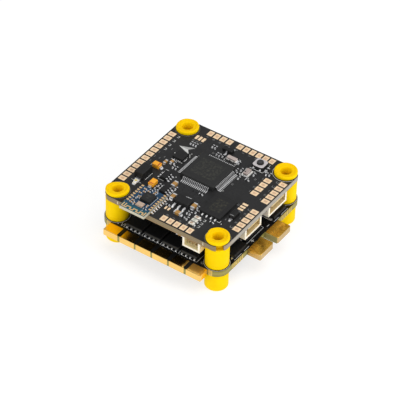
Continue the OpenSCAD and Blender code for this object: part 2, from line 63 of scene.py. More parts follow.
class Mat:
    """One Principled material with object-space noise for colour, gloss and relief."""

    def __init__(self, name, metallic=0.0, spec=0.5, coat=0.0, coat_rough=0.1, sheen=0.0, sss=0.0, ior=None):
        self.m = bpy.data.materials.new(name)
        self.m.use_nodes = True
        self.nt = self.m.node_tree
        self.n, self.l = self.nt.nodes, self.nt.links
        self.n.clear()
        self.out = self.n.new("ShaderNodeOutputMaterial")
        self.b = self.n.new("ShaderNodeBsdfPrincipled")
        self.l.new(self.b.outputs[0], self.out.inputs[0])
        socket(self.b, "Metallic", metallic)
        socket(self.b, "Specular IOR Level", spec)
        if ior is not None:
            socket(self.b, "IOR", ior)
        if coat:
            socket(self.b, "Coat Weight", coat)
            socket(self.b, "Coat Roughness", coat_rough)
        if sheen:
            socket(self.b, "Sheen Weight", sheen)
        if sss:
            socket(self.b, "Subsurface Weight", sss)
            socket(self.b, "Subsurface Radius", (1.0, 0.6, 0.2))
            socket(self.b, "Subsurface Scale", 0.0006)
        self.tc = self.n.new("ShaderNodeTexCoord")

    def noise(self, scale, detail=3.0, rough=0.55, stretch=None):
        t = self.n.new("ShaderNodeTexNoise")
        t.inputs["Scale"].default_value = scale
        t.inputs["Detail"].default_value = detail
        t.inputs["Roughness"].default_value = rough
        if stretch:
            mp = self.n.new("ShaderNodeMapping")
            mp.inputs["Scale"].default_value = stretch
            self.l.new(self.tc.outputs["Object"], mp.inputs["Vector"])
            self.l.new(mp.outputs[0], t.inputs["Vector"])
        else:
            self.l.new(self.tc.outputs["Object"], t.inputs["Vector"])
        return t.outputs["Fac"]

    def ramp(self, fac, stops, interp="LINEAR"):
        r = self.n.new("ShaderNodeValToRGB")
        r.color_ramp.interpolation = interp
        e = r.color_ramp.elements
        while len(e) < len(stops):
            e.new(0.5)
        for k, (p, c) in enumerate(stops):
            e[k].position = p
            e[k].color = (*c, 1.0) if len(c) == 3 else c
        self.l.new(fac, r.inputs[0])
        return r.outputs[0]

    def span(self, fac, a, b, lo=0.3, hi=0.7):
        r = self.n.new("ShaderNodeMapRange")
        r.inputs["From Min"].default_value = lo
        r.inputs["From Max"].default_value = hi
        r.inputs["To Min"].default_value = a
        r.inputs["To Max"].default_value = b
        self.l.new(fac, r.inputs["Value"])
        return r.outputs[0]

    def math(self, op, a, b=None):
        t = self.n.new("ShaderNodeMath")
        t.operation = op
        for k, v in enumerate((a, b)):
            if v is None:
                continue
            if isinstance(v, (int, float)):
                t.inputs[k].default_value = v
            else:
                self.l.new(v, t.inputs[k])
        return t.outputs[0]

    def mix(self, fac, a, b, kind="MIX"):
        t = self.n.new("ShaderNodeMix")
        t.data_type = "RGBA"
        t.blend_type = kind
        self.l.new(fac, t.inputs["Factor"]) if not isinstance(fac, (int, float)) else setattr(t.inputs["Factor"], "default_value", fac)
        for sock, v in ((t.inputs[6], a), (t.inputs[7], b)):
            if isinstance(v, tuple):
                sock.default_value = (*v, 1.0) if len(v) == 3 else v
            else:
                self.l.new(v, sock)
        return t.outputs[2]

    def xyz(self):
        s = self.n.new("ShaderNodeSeparateXYZ")
        self.l.new(self.tc.outputs["Object"], s.inputs[0])
        return s.outputs

    def flatness(self):
        """1 on faces that look up or down, 0 on the sides."""
        g = self.n.new("ShaderNodeNewGeometry")
        s = self.n.new("ShaderNodeSeparateXYZ")
        self.l.new(g.outputs["Normal"], s.inputs[0])
        return self.math("GREATER_THAN", self.math("ABSOLUTE", s.outputs["Z"]), 0.6)

    def colour(self, v):
        self.l.new(v, self.b.inputs["Base Color"])

    def rough(self, v):
        self.l.new(v, self.b.inputs["Roughness"])

    def bump(self, fac, strength=0.2, dist=0.00002):
        b = self.n.new("ShaderNodeBump")
        b.inputs["Strength"].default_value = strength
        b.inputs["Distance"].default_value = dist
        self.l.new(fac, b.inputs["Height"])
        self.l.new(b.outputs[0], self.b.inputs["Normal"])


def srgb(r, g, b):
    def f(c):
        c /= 255
        return c / 12.92 if c <= 0.04045 else ((c + 0.055) / 1.055) ** 2.4
    return (f(r), f(g), f(b))


def dim(c, k):
    return tuple(min(1.0, x * k) for x in c)


def plain(name, rgb, r=(0.35, 0.5), metallic=0.0, var=0.12, scale=900, spec=0.5, bump=0.15, bscale=6000,
          dist=0.00001, stretch=None, **kw):
    """A material whose colour wanders by var, with a fine grain in its gloss and relief."""
    m = Mat(name, metallic=metallic, spec=spec, **kw)
    n1 = m.noise(scale, 4.0, stretch=stretch)
    m.colour(m.ramp(n1, [(0.3, dim(rgb, 1 - var)), (0.5, rgb), (0.72, dim(rgb, 1 + var))]))
    n2 = m.noise(bscale, 3.0, stretch=stretch)
    m.rough(m.span(n2, r[0], r[1]))
    m.bump(n2, bump, dist)
    return m.m


def board_material(name, mask, mask2, side_stops, z0, z1, rough=(0.42, 0.55), spec=0.3, coat=0.0, side_y=None):
    """Solder mask on the two faces, and laminate with its layers on the cut edge."""
    m = Mat(name, spec=spec, coat=coat, coat_rough=0.2)
    weave = m.noise(420, 3.0)
    fine = m.noise(5200, 3.0)
    top = m.ramp(weave, [(0.32, mask), (0.55, mask2), (0.75, mask)])
    xyz = m.xyz()
    h = m.span(xyz["Z"], 0.0, 1.0, z0 * MM, z1 * MM)
    h = m.math("ADD", h, m.math("MULTIPLY", m.math("SUBTRACT", m.noise(1500, 2.0, stretch=(1, 1, 0.2)), 0.5), 0.05))
    side = m.ramp(h, side_stops)
    fibre = m.noise(9000, 2.0, stretch=(0.35, 0.35, 3.0))
    side = m.mix(m.span(fibre, 0.0, 0.4), side, side_stops[len(side_stops) // 2][1])
    if side_y:
        other = m.mix(m.span(m.noise(3200, 3.0), 0.0, 0.7), m.ramp(h, side_y), side_y[len(side_y) // 2][1])
        other = m.mix(m.span(xyz["X"], 0.85, 0.0, -16.4 * MM, -12.6 * MM), other, m.mix(m.span(fibre, 0.2, 0.8), srgb(176, 150, 116), side))
        g = m.n.new("ShaderNodeNewGeometry")
        q = m.n.new("ShaderNodeSeparateXYZ")
        m.l.new(g.outputs["Normal"], q.inputs[0])
        side = m.mix(m.span(m.math("ABSOLUTE", q.outputs["Y"]), 0.0, 1.0, 0.45, 0.85), side, other)
    flat = m.flatness()
    m.colour(m.mix(flat, side, top))
    r = m.math("ADD", m.span(fine, rough[0], rough[1]), m.math("MULTIPLY", m.math("SUBTRACT", 1.0, flat), 0.25))
    m.rough(r)
    m.bump(m.math("ADD", m.math("MULTIPLY", m.noise(2600, 2.0), 0.6), m.math("MULTIPLY", fine, 0.4)), 0.1, 0.000012)
    return m.m


def battery_gold():
    """Heavy gold dragged by the brush, browner in long soft streaks and duller on its cut sides."""
    m = Mat("battery_gold", metallic=1.0)
    a = m.noise(190, 2.0, stretch=(1.0, 0.35, 1.0))
    streak = m.noise(1500, 2.0, stretch=(1.0, 0.12, 1.0))
    base = m.ramp(a, [(0.34, (0.66, 0.385, 0.058)), (0.5, (0.84, 0.475, 0.062)), (0.68, (0.93, 0.545, 0.080))])
    top = m.mix(m.span(streak, 0.0, 0.22), base, (0.52, 0.32, 0.055))
    side = m.ramp(a, [(0.34, (0.50, 0.345, 0.145)), (0.66, (0.60, 0.415, 0.175))])
    m.colour(m.mix(m.flatness(), side, top))
    m.rough(m.span(streak, 0.18, 0.30))
    m.bump(streak, 0.04, 0.00002)
    return m.m


def nylon(painted_boxes):
    """Ivory nylon, painted tan inside each mouth as painted light and shade, a box of (centre, half size, tan) in
    millimetres.
    """
    m = Mat("connector_nylon", spec=0.35, sss=0.04)
    n = m.noise(800, 3.0)
    colour = m.ramp(n, [(0.3, srgb(250, 241, 220)), (0.7, srgb(255, 249, 234))])
    p = m.xyz()
    for centre, half, tan in painted_boxes:
        inside = None
        for axis, c, h in zip("XYZ", centre, half):
            t = m.math("LESS_THAN", m.math("ABSOLUTE", m.math("SUBTRACT", p[axis], c * MM)), h * MM)
            inside = t if inside is None else m.math("MULTIPLY", inside, t)
        colour = m.mix(inside, colour, m.ramp(n, [(0.3, dim(tan, 0.92)), (0.7, dim(tan, 1.08))]))
    m.colour(colour)
    g = m.noise(6000, 3.0)
    m.rough(m.span(g, 0.4, 0.52))
    m.bump(g, 0.1, 0.00001)
    return m.m


def lead_tin():
    """Tinned leads with painted light: the flats painted bright as lit, the slopes and cut sides painted darker as
    shade.
    """
    m = Mat("lead_tin", metallic=0.55, spec=0.5)
    n = m.noise(3000, 3.0)
    painted_highlight = m.ramp(n, [(0.3, (0.86, 0.86, 0.87)), (0.7, (0.97, 0.97, 0.97))])
    painted_shade_slopes = m.ramp(n, [(0.3, (0.30, 0.30, 0.31)), (0.7, (0.38, 0.38, 0.39))])
    m.colour(m.mix(m.flatness(), painted_shade_slopes, painted_highlight))
    g = m.noise(6000, 3.0)
    m.rough(m.span(g, 0.3, 0.42))
    m.bump(g, 0.08, 0.00001)
    return m.m


def soft_yellow():
    """Matte silicone, with painted light: the upright walls painted lighter as lit, and the rims painted darker as
    shade.
    """
    m = Mat("silicone", spec=0.06, sheen=0.0)
    n = m.noise(400, 4.0)
    rim = m.ramp(n, [(0.3, (0.86, 0.520, 0.0)), (0.5, (0.89, 0.545, 0.0)), (0.72, (0.91, 0.565, 0.0))])
    wall = m.ramp(n, [(0.3, (0.95, 0.625, 0.0)), (0.5, (0.97, 0.650, 0.0)), (0.72, (0.98, 0.670, 0.0))])
    m.colour(m.mix(m.flatness(), wall, rim))
    g = m.noise(3500, 3.0)
    m.rough(m.span(g, 0.55, 0.68))
    m.bump(g, 0.12, 0.00002)
    return m.m


def plunger_plastic(cx, cy):
    """Dark plastic about the button's axis, with a lighter ring painted as a highlight and a darker outer ring painted
    as shade.
    """
    m = Mat("plunger_plastic", spec=0.35)
    p = m.xyz()
    dx, dy = m.math("SUBTRACT", p["X"], cx * MM), m.math("SUBTRACT", p["Y"], cy * MM)
    r = m.math("SQRT", m.math("ADD", m.math("MULTIPLY", dx, dx), m.math("MULTIPLY", dy, dy)))
    t = m.span(r, 0.0, 1.0, 0.0, 1.0 * MM)
    n = m.math("ADD", t, m.math("MULTIPLY", m.math("SUBTRACT", m.noise(1800, 3.0), 0.5), 0.12))
    m.colour(m.ramp(n, [(0.0, (0.036, 0.036, 0.040)), (0.38, (0.034, 0.034, 0.038)), (0.46, (0.062, 0.062, 0.068)), (0.56, (0.014, 0.013, 0.013)),
                        (0.9, (0.012, 0.011, 0.011))]))
    g = m.noise(6000, 3.0)
    m.rough(m.span(g, 0.4, 0.55))
    m.bump(g, 0.15, 0.00001)
    return m.m


def lidded_can(name, lid, base, split, seam_mm=0.09):
    """A metal lid over a pale base with plated notches, split at a height in millimetres."""
    m = Mat(name, metallic=0.5, spec=0.5)
    n = m.noise(2000, 3.0)
    z = m.xyz()["Z"]
    notch = m.math("MULTIPLY", m.math("GREATER_THAN", m.noise(2300, 1.0), 0.6), m.math("LESS_THAN", z, (split - 0.06) * MM))
    seam = m.math("MULTIPLY", m.math("GREATER_THAN", z, split * MM), m.math("LESS_THAN", z, (split + seam_mm) * MM))
    top = m.ramp(n, [(0.3, dim(lid, 0.93)), (0.7, dim(lid, 1.07))])
    low = m.ramp(n, [(0.3, dim(base, 0.93)), (0.7, dim(base, 1.05))])
    low = m.mix(notch, low, (0.055, 0.050, 0.046))
    top = m.mix(seam, top, (0.060, 0.052, 0.048))
    m.colour(m.mix(m.math("LESS_THAN", z, split * MM), top, low))
    m.rough(m.span(n, 0.3, 0.42))
    m.bump(m.noise(6000, 3.0), 0.1, 0.00001)
    return m.m


def module_material():
    """Blue mask that turns teal over the bare antenna end, with a pale laminate edge."""
    m = Mat("module_mask", spec=0.3)
    n = m.noise(900, 4.0)
    navy = m.ramp(n, [(0.3, (0.0050, 0.028, 0.066)), (0.55, (0.0075, 0.040, 0.090)), (0.75, (0.0110, 0.052, 0.110))])
    teal = m.ramp(n, [(0.3, (0.0080, 0.070, 0.095)), (0.7, (0.0120, 0.098, 0.125))])
    x = m.span(m.xyz()["X"], 1.0, 0.0, -19.0 * MM, -17.6 * MM)
    pale = m.ramp(m.noise(2600, 2.0, stretch=(1, 1, 4.0)), [(0.3, srgb(176, 170, 148)), (0.7, srgb(214, 208, 186))])
    m.colour(m.mix(m.flatness(), pale, m.mix(x, navy, teal)))
    g = m.noise(5200, 3.0)
    m.rough(m.span(g, 0.28, 0.4))
    m.bump(g, 0.08, 0.00001)
    return m.m


M = {}
fc_side = [(0.0, srgb(52, 42, 30)), (0.07, srgb(146, 120, 86)), (0.2, srgb(172, 146, 110)), (0.27, srgb(86, 70, 50)),
           (0.36, srgb(142, 126, 98)), (0.56, srgb(148, 132, 103)), (0.68, srgb(114, 99, 73)), (0.8, srgb(154, 138, 110)),
           (0.92, srgb(124, 108, 82)), (1.0, srgb(40, 35, 28))]
fc_side_y = [(0.0, srgb(58, 54, 46)), (0.07, srgb(148, 141, 130)), (0.22, srgb(180, 175, 166)), (0.3, srgb(138, 131, 120)),
             (0.42, srgb(186, 182, 174)), (0.58, srgb(170, 164, 154)), (0.66, srgb(132, 124, 112)), (0.76, srgb(186, 182, 174)),
             (0.86, srgb(128, 121, 110)), (0.93, srgb(58, 54, 50)), (1.0, srgb(40, 38, 36))]
esc_side = [(0.0, srgb(44, 42, 16)), (0.08, srgb(140, 130, 62)), (0.2, srgb(164, 154, 84)), (0.28, srgb(122, 112, 50)),
            (0.4, srgb(170, 160, 92)), (0.52, srgb(146, 136, 70)), (0.62, srgb(172, 162, 96)), (0.74, srgb(126, 116, 54)),
            (0.88, srgb(160, 150, 82)), (1.0, srgb(40, 36, 16))]
M["fc_mask"] = board_material("fc_mask", (0.0150, 0.0150, 0.0156), (0.0190, 0.0190, 0.0197), fc_side, FC0, FC1, rough=(0.42, 0.54), spec=0.24, side_y=fc_side_y)
M["esc_mask"] = board_material("esc_mask", (0.0030, 0.0030, 0.0032), (0.0048, 0.0048, 0.0050), esc_side, E0, E1, rough=(0.24, 0.34), spec=0.25)
M["laminate"] = plain("laminate", srgb(150, 140, 74), r=(0.45, 0.6), var=0.2, scale=1500, bump=0.2, stretch=(1.0, 1.0, 6.0))
M["trace"] = plain("mask_over_copper", (0.0215, 0.0215, 0.0225), r=(0.4, 0.5), spec=0.26, bump=0.06)
M["trace_esc"] = plain("esc_mask_over_copper", (0.0085, 0.0085, 0.0090), r=(0.26, 0.36), spec=0.28, bump=0.06)
M["mask_strip"] = plain("mask_strip", (0.0050, 0.0048, 0.0046), r=(0.3, 0.4), spec=0.28, bump=0.06)
M["pad"] = plain("pad_plating", (0.93, 0.69, 0.44), r=(0.34, 0.46), metallic=0.25, var=0.05, bump=0.1)
M["pad_mid"] = plain("pad_middle", (0.72, 0.475, 0.30), r=(0.36, 0.5), metallic=0.25, var=0.09, bump=0.12)
M["gold"] = plain("heavy_gold", (0.93, 0.60, 0.175), r=(0.10, 0.17), metallic=1.0, var=0.035, scale=260, bump=0.03, bscale=900, dist=0.00002)
M["gold_battery"] = battery_gold()
M["edge_gold"] = plain("edge_gold", (0.66, 0.46, 0.115), r=(0.26, 0.38), metallic=0.7, var=0.26, scale=1500, bump=0.12)
M["antenna"] = plain("thin_gold", (0.70, 0.47, 0.22), r=(0.3, 0.4), metallic=0.3, var=0.06)
M["silicone"] = soft_yellow()
M["tin"] = plain("tinned", (0.62, 0.62, 0.635), r=(0.28, 0.4), metallic=0.85, var=0.05, scale=3000, bump=0.08)
M["lead_tin"] = lead_tin()
M["solder"] = plain("solder", (0.80, 0.80, 0.81), r=(0.2, 0.3), metallic=0.75, var=0.05, scale=2500, bump=0.08, bscale=3800)
# near-white solder, a painted highlight standing in for the glints on the joints
M["solder_painted_highlight"] = plain("solder_painted_highlight", (0.97, 0.97, 0.96), r=(0.2, 0.32), metallic=0.35, var=0.04, scale=2500, bump=0.08, bscale=3800)
M["steel"] = plain("pressed_steel", (0.60, 0.585, 0.59), r=(0.3, 0.4), metallic=0.8, var=0.06, scale=1500, bump=0.15, stretch=(1.0, 5.0, 1.0))
M["button_cover"] = plain("button_cover", (0.64, 0.60, 0.607), r=(0.32, 0.44), metallic=0.35, var=0.08, scale=1500, bump=0.15, stretch=(1.0, 4.0, 1.0))
M["can"] = lidded_can("sensor_can", (0.47, 0.385, 0.355), (0.95, 0.94, 0.90), FC1 + 0.315, 0.14)
M["can_long"] = lidded_can("crystal_can", (0.60, 0.505, 0.47), (0.90, 0.88, 0.84), FC1 + 0.40, 0.05)
M["can_gold"] = plain("crystal_lid", (0.62, 0.47, 0.36), r=(0.3, 0.42), metallic=0.5, var=0.06, scale=2000, bump=0.12)
M["contact"] = plain("contact_tin", (0.36, 0.235, 0.10), r=(0.3, 0.42), metallic=0.4, var=0.08, scale=2000, bump=0.1)
M["white_silk"] = plain("silkscreen", (0.60, 0.60, 0.585), r=(0.55, 0.7), var=0.12, scale=4000, spec=0.2)
M["silk_shade"] = plain("silkscreen_shade", (0.36, 0.36, 0.35), r=(0.55, 0.7), var=0.12, scale=4000, spec=0.2)
M["mid_silk"] = plain("thin_silkscreen", (0.30, 0.30, 0.295), r=(0.55, 0.7), var=0.25, scale=3000, spec=0.2)
M["grey_silk"] = plain("worn_silkscreen", (0.21, 0.21, 0.21), r=(0.55, 0.7), var=0.3, scale=2600, spec=0.2)
# painted light in each connector mouth: a tan box over the cavity for its bounced light and shade, and a thin box on
# the roof's front face, brown on the side connector as painted shadow under the upper board
MOUTH_PAINTED_LIGHT = []
for k_, c_, n_ in (("x", -9.5, 3), ("y", -4.1, 5), ("y", 6.9, 6)):
    hw = (n_ + 1.0) / 2 + 0.01
    for v0, v1, q0, q1 in ((0.03, 3.2, 0.0, 2.405), (-0.05, 0.05, -0.02, 0.46)):
        along, up_ = -FCH + (v0 + v1) / 2, FC0 - (q0 + q1) / 2
        if k_ == "x":
            MOUTH_PAINTED_LIGHT.append(((along, c_, up_), ((v1 - v0) / 2, hw, (q1 - q0) / 2), srgb(252, 236, 186) if v0 > 0 else srgb(150, 118, 70)))
        else:
            MOUTH_PAINTED_LIGHT.append(((c_, along, up_), (hw, (v1 - v0) / 2, (q1 - q0) / 2), srgb(220, 196, 140)))
M["nylon"] = nylon(MOUTH_PAINTED_LIGHT)
M["black_plastic"] = plain("black_plastic", (0.012, 0.012, 0.013), r=(0.38, 0.5), var=0.15, spec=0.4)
M["plunger_painted_light"] = plunger_plastic(13.65, -8.5)
M["resistor"] = plain("resistor_glaze", (0.012, 0.012, 0.015), r=(0.2, 0.3), var=0.2, spec=0.4, bump=0.08)
def ceramic(dark_at):
    """Tan capacitor ceramic. The part at dark_at is a dark bead in the same size of case."""
    m = Mat("capacitor_ceramic", spec=0.5)
    n = m.noise(2600, 4.0)
    tan = m.ramp(n, [(0.3, srgb(150, 108, 50)), (0.5, srgb(168, 126, 66)), (0.72, srgb(184, 142, 82))])
    p = m.xyz()
    near = m.math("MULTIPLY", m.math("LESS_THAN", m.math("ABSOLUTE", m.math("SUBTRACT", p["X"], dark_at[0] * MM)), 1.0 * MM),
                  m.math("LESS_THAN", m.math("ABSOLUTE", m.math("SUBTRACT", p["Y"], dark_at[1] * MM)), 0.6 * MM))
    m.colour(m.mix(near, tan, m.ramp(n, [(0.3, (0.012, 0.012, 0.013)), (0.7, (0.022, 0.022, 0.024))])))
    g = m.noise(6000, 3.0)
    m.rough(m.span(g, 0.35, 0.5))
    m.bump(g, 0.15, 0.00001)
    return m.m


M["ceramic"] = ceramic((13.2, -10.95))
M["led_body"] = plain("led_body", srgb(240, 236, 228), r=(0.3, 0.42), var=0.03, sss=0.05)
M["lamp_body"] = lidded_can("lamp_body", srgb(246, 242, 232), srgb(74, 72, 68), FC1 + 0.25, 0.0)
M["led_window"] = plain("led_window", srgb(172, 146, 124), r=(0.15, 0.25), var=0.16, scale=5200, coat=0.5)
M["led_window_grey"] = plain("led_window_grey", srgb(176, 182, 168), r=(0.15, 0.25), var=0.16, scale=5200, coat=0.5)
M["phosphor"] = plain("led_phosphor", srgb(206, 184, 96), r=(0.2, 0.3), var=0.08, scale=4000, coat=0.5)
M["tantalum"] = plain("tantalum_case", srgb(242, 166, 28), r=(0.36, 0.48), var=0.06, scale=1600, bump=0.14)
M["tantalum_band"] = plain("polarity_band", srgb(188, 98, 24), r=(0.42, 0.55), var=0.18, scale=2600)
M["navy"] = module_material()
M["navy_trace"] = plain("module_trace", (0.016, 0.070, 0.130), r=(0.28, 0.38), var=0.12, scale=1200, spec=0.3)
M["inductor"] = plain("inductor_body", (0.060, 0.060, 0.063), r=(0.62, 0.78), var=0.22, scale=4200, bump=0.4, bscale=5200, dist=0.00003, spec=0.3)
M["shunt"] = plain("shunt_alloy", (0.36, 0.32, 0.28), r=(0.35, 0.5), metallic=0.8, var=0.12, scale=1300, stretch=(4.0, 1.0, 1.0))
M["fibre"] = plain("torn_fibre", srgb(206, 196, 170), r=(0.6, 0.75), var=0.15, scale=3000, spec=0.2)
# near-black, painted shade standing in for open holes
M["hole_shade"] = plain("painted_hole_shade", (0.010, 0.010, 0.010), r=(0.6, 0.7), spec=0.2)
# grey epoxy painted as the lit faces of the power transistors
M["epoxy_band"] = plain("transistor_painted_light", (0.046, 0.045, 0.040), r=(0.55, 0.68), var=0.2, scale=2600, spec=0.25)


def epoxy(name, rgb, boxes=(), tint=(0.055, 0.057, 0.050), r=(0.5, 0.66), spec=0.22):
    """Moulded epoxy with fine grain, and a faint uneven laser-marked patch in each box (x0, y0, x1, y1)."""
    m = Mat(name, spec=spec)
    grain = m.noise(7500, 3.0)
    base = m.ramp(m.noise(1200, 3.0), [(0.3, dim(rgb, 0.88)), (0.7, dim(rgb, 1.14))])
    if boxes:
        p = m.xyz()
        total = None
        for x0, y0, x1, y1 in boxes:
            inside = None
            for axis, lo, hi in (("X", x0, x1), ("Y", y0, y1)):
                for op, edge in (("GREATER_THAN", lo), ("LESS_THAN", hi)):
                    t = m.math(op, p[axis], edge * MM)
                    inside = t if inside is None else m.math("MULTIPLY", inside, t)
            total = inside if total is None else m.math("MAXIMUM", total, inside)
        blot = m.span(m.noise(1500, 3.0, 0.7), 0.0, 1.0, 0.46, 0.66)
        base = m.mix(m.math("MULTIPLY", m.math("MULTIPLY", total, blot), 0.75), base, tint)
    m.colour(base)
    m.rough(m.span(grain, r[0], r[1]))
    m.bump(grain, 0.22, 0.000014)
    return m.m


M["epoxy"] = epoxy("chip_epoxy", (0.0120, 0.0120, 0.0126))
M["epoxy_mcu"] = epoxy("processor_epoxy", (0.0200, 0.0203, 0.0203), [(0.2, -2.9, 6.6, 4.2)], (0.056, 0.056, 0.045))
M["epoxy_flash"] = epoxy("flash_epoxy", (0.0150, 0.0150, 0.0154), [(-8.3, -10.8, -3.6, -7.5)], (0.058, 0.056, 0.038))
M["epoxy_bt"] = epoxy("radio_chip_epoxy", (0.0165, 0.0170, 0.0165), [(-15.0, 5.6, -13.4, 7.2)], (0.050, 0.052, 0.047))
M["epoxy_fet"] = epoxy("transistor_epoxy", (0.0065, 0.0065, 0.0068), r=(0.36, 0.5), spec=0.28)
M["epoxy_grey"] = epoxy("controller_epoxy", (0.0300, 0.0302, 0.0300), [(-7.9, -5.3, -5.3, -3.1), (5.3, 3.1, 7.9, 5.3), (5.3, -5.3, 7.9, -3.1), (-7.9, 3.1, -5.3, 5.3)], (0.085, 0.085, 0.078), spec=0.3)
M["epoxy_dark"] = epoxy("diode_epoxy", (0.0095, 0.0095, 0.0098), r=(0.38, 0.5), spec=0.26)


# ------------------------------------------------------------------ mesh maker

class Build:
    """Collects closed solids in millimetres and makes one object of them."""

    def __init__(self, name, mats, slot, body="stack", smooth=None, bevel=None, segments=2, replaces=()):
        self.name, self.mats, self.slot, self.body = name, mats, slot, body
        self.smooth, self.bevel, self.segments, self.repl = smooth, bevel, segments, replaces
        self.v, self.f, self.mi = [], [], []
        self.place = None
        self.flip = False

    def at(self, side=None, x=0.0, y=0.0, a=0.0, z=0.0):
        """Later solids go in this board place: x, y and a turn in degrees, z up from the face."""
        if side is None:
            self.place, self.flip = None, False
            return self
        base, s = {"fc": (FC1, 1), "ufc": (FC0, -1), "esc": (E1, 1), "uesc": (E0, -1), "bt": (BT1, 1)}[side]
        ca, sa = math.cos(math.radians(a)), math.sin(math.radians(a))
        self.place = lambda p: (x + ca * p[0] - sa * p[1], y + sa * p[0] + ca * p[1], base + s * (p[2] + z))
        self.flip = s < 0
        return self

    def add(self, verts, faces, mi=0):
        b = len(self.v)
        self.v += [self.place(p) if self.place else tuple(p) for p in verts]
        for f in faces:
            g = [b + i for i in f]
            self.f.append(g[::-1] if self.flip else g)
            self.mi.append(mi)

    def prism(self, outline, z0, z1, mi=0, inset=0.0, drop=None):
        """An outline pulled up, with its top edge chamfered by inset over drop."""
        n = len(outline)
        area = sum(outline[i][0] * outline[(i + 1) % n][1] - outline[(i + 1) % n][0] * outline[i][1] for i in range(n))
        if area < 0:
            outline = outline[::-1]
        rings = [[(x, y, z0) for x, y in outline]]
        if inset:
            d = inset if drop is None else drop
            rings.append([(x, y, z1 - d) for x, y in outline])
            rings.append([(x, y, z1) for x, y in offset(outline, -inset)])
        else:
            rings.append([(x, y, z1) for x, y in outline])
        verts = [p for r in rings for p in r]
        faces = [list(range(n))[::-1]]
        for k in range(len(rings) - 1):
            for i in range(n):
                j = (i + 1) % n
                faces.append([k * n + i, k * n + j, (k + 1) * n + j, (k + 1) * n + i])
        faces.append([(len(rings) - 1) * n + i for i in range(n)])
        self.add(verts, faces, mi)

    def box(self, x0, x1, y0, y1, z0, z1, mi=0, inset=0.0, drop=None):
        self.prism([(x0, y0), (x1, y0), (x1, y1), (x0, y1)], z0, z1, mi, inset, drop)

    def block(self, cx, cy, w, d, z0, z1, mi=0, inset=0.0, drop=None):
        self.box(cx - w / 2, cx + w / 2, cy - d / 2, cy + d / 2, z0, z1, mi, inset, drop)

    def lathe(self, profile, cx, cy, n=32, mi=0):
        """A closed profile of (radius, height) turned about an upright axis. A zero radius is a pole."""
        verts, index = [], []
        for r, z in profile:
            if r < 1e-9:
                index.append([len(verts)] * n)
                verts.append((cx, cy, z))
            else:
                index.append([len(verts) + k for k in range(n)])
                verts += [(cx + r * math.cos(2 * math.pi * k / n), cy + r * math.sin(2 * math.pi * k / n), z) for k in range(n)]
        faces = []
        m = len(profile)
        closed = not (profile[0][0] < 1e-9 and profile[-1][0] < 1e-9)
        for i in range(m if closed else m - 1):
            a, b = index[i], index[(i + 1) % m]
            for k in range(n):
                q = []
                for t in (a[k], a[(k + 1) % n], b[(k + 1) % n], b[k]):
                    if t not in q:
                        q.append(t)
                if len(q) > 2:
                    faces.append(q)
        self.add(verts, faces, mi)

    def dome(self, cx, cy, r, h, z=0.0, n=14, mi=0):
        """A low round blob, as a wetted solder dot."""
        prof = [(0.0, z - 0.001), (r, z - 0.001), (r, z)]
        prof += [(r * math.cos(t), z + h * math.sin(t)) for t in (0.35, 0.7, 1.05, 1.3)]
        self.lathe(prof + [(0.0, z + h)], cx, cy, n, mi)

    def ring(self, cx, cy, r, w, z0, z1, a0=0.0, a1=360.0, mi=0, n=56):
        """A flat ring, or a part of one, of width w about radius r."""
        if a1 - a0 >= 359.9:
            self.lathe([(r - w / 2, z0), (r + w / 2, z0), (r + w / 2, z1), (r - w / 2, z1)], cx, cy, n, mi)
            return
        k = max(4, int(n * (a1 - a0) / 360))
        ang = [math.radians(a0 + (a1 - a0) * i / k) for i in range(k + 1)]
        out = [(cx + (r + w / 2) * math.cos(t), cy + (r + w / 2) * math.sin(t)) for t in ang]
        inn = [(cx + (r - w / 2) * math.cos(t), cy + (r - w / 2) * math.sin(t)) for t in ang[::-1]]
        self.prism(out + inn, z0, z1, mi)

    def stroke(self, pts, w, z0, z1, mi=0):
        """A line of width w through the points, with mitred corners."""
        left, right = [], []
        n = len(pts)
        for i in range(n):
            if i == 0:
                d = unit(pts[1], pts[0])
                nx, ny, s = -d[1], d[0], 1.0
            elif i == n - 1:
                d = unit(pts[-1], pts[-2])
                nx, ny, s = -d[1], d[0], 1.0
            else:
                a, b = unit(pts[i], pts[i - 1]), unit(pts[i + 1], pts[i])
                nx, ny = -(a[1] + b[1]), a[0] + b[0]
                ln = math.hypot(nx, ny) or 1.0
                nx, ny = nx / ln, ny / ln
                s = 1 / max(0.4, nx * -a[1] + ny * a[0])
            left.append((pts[i][0] + nx * w / 2 * s, pts[i][1] + ny * w / 2 * s))
            right.append((pts[i][0] - nx * w / 2 * s, pts[i][1] - ny * w / 2 * s))
        self.prism(left + right[::-1], z0, z1, mi)

    def fillet(self, x, y, a, reach, w, h, z=0.0, mi=0):
        """A concave solder wedge that runs from (x, y) outward along the angle a, against a wall of height h."""
        ca, sa = math.cos(math.radians(a)), math.sin(math.radians(a))
        prof = [(-0.03, 0.0), (reach, 0.0), (reach * 0.98, 0.018), (reach * 0.58, h * 0.17), (reach * 0.27, h * 0.45),
                (reach * 0.08, h * 0.8), (0.0, h), (-0.03, h)]
        verts = []
        for s in (-1, 1):
            for u, t in prof:
                k = w / 2 * (1.0 if u <= 0 else 1.0 - 0.12 * u / reach)
                verts.append((x + ca * u - sa * s * k, y + sa * u + ca * s * k, z + t))
        n = len(prof)
        faces = [list(range(n)), [n + i for i in range(n)][::-1]]
        faces += [[i, n + i, n + (i + 1) % n, (i + 1) % n] for i in range(n)]
        self.add(verts, faces, mi)

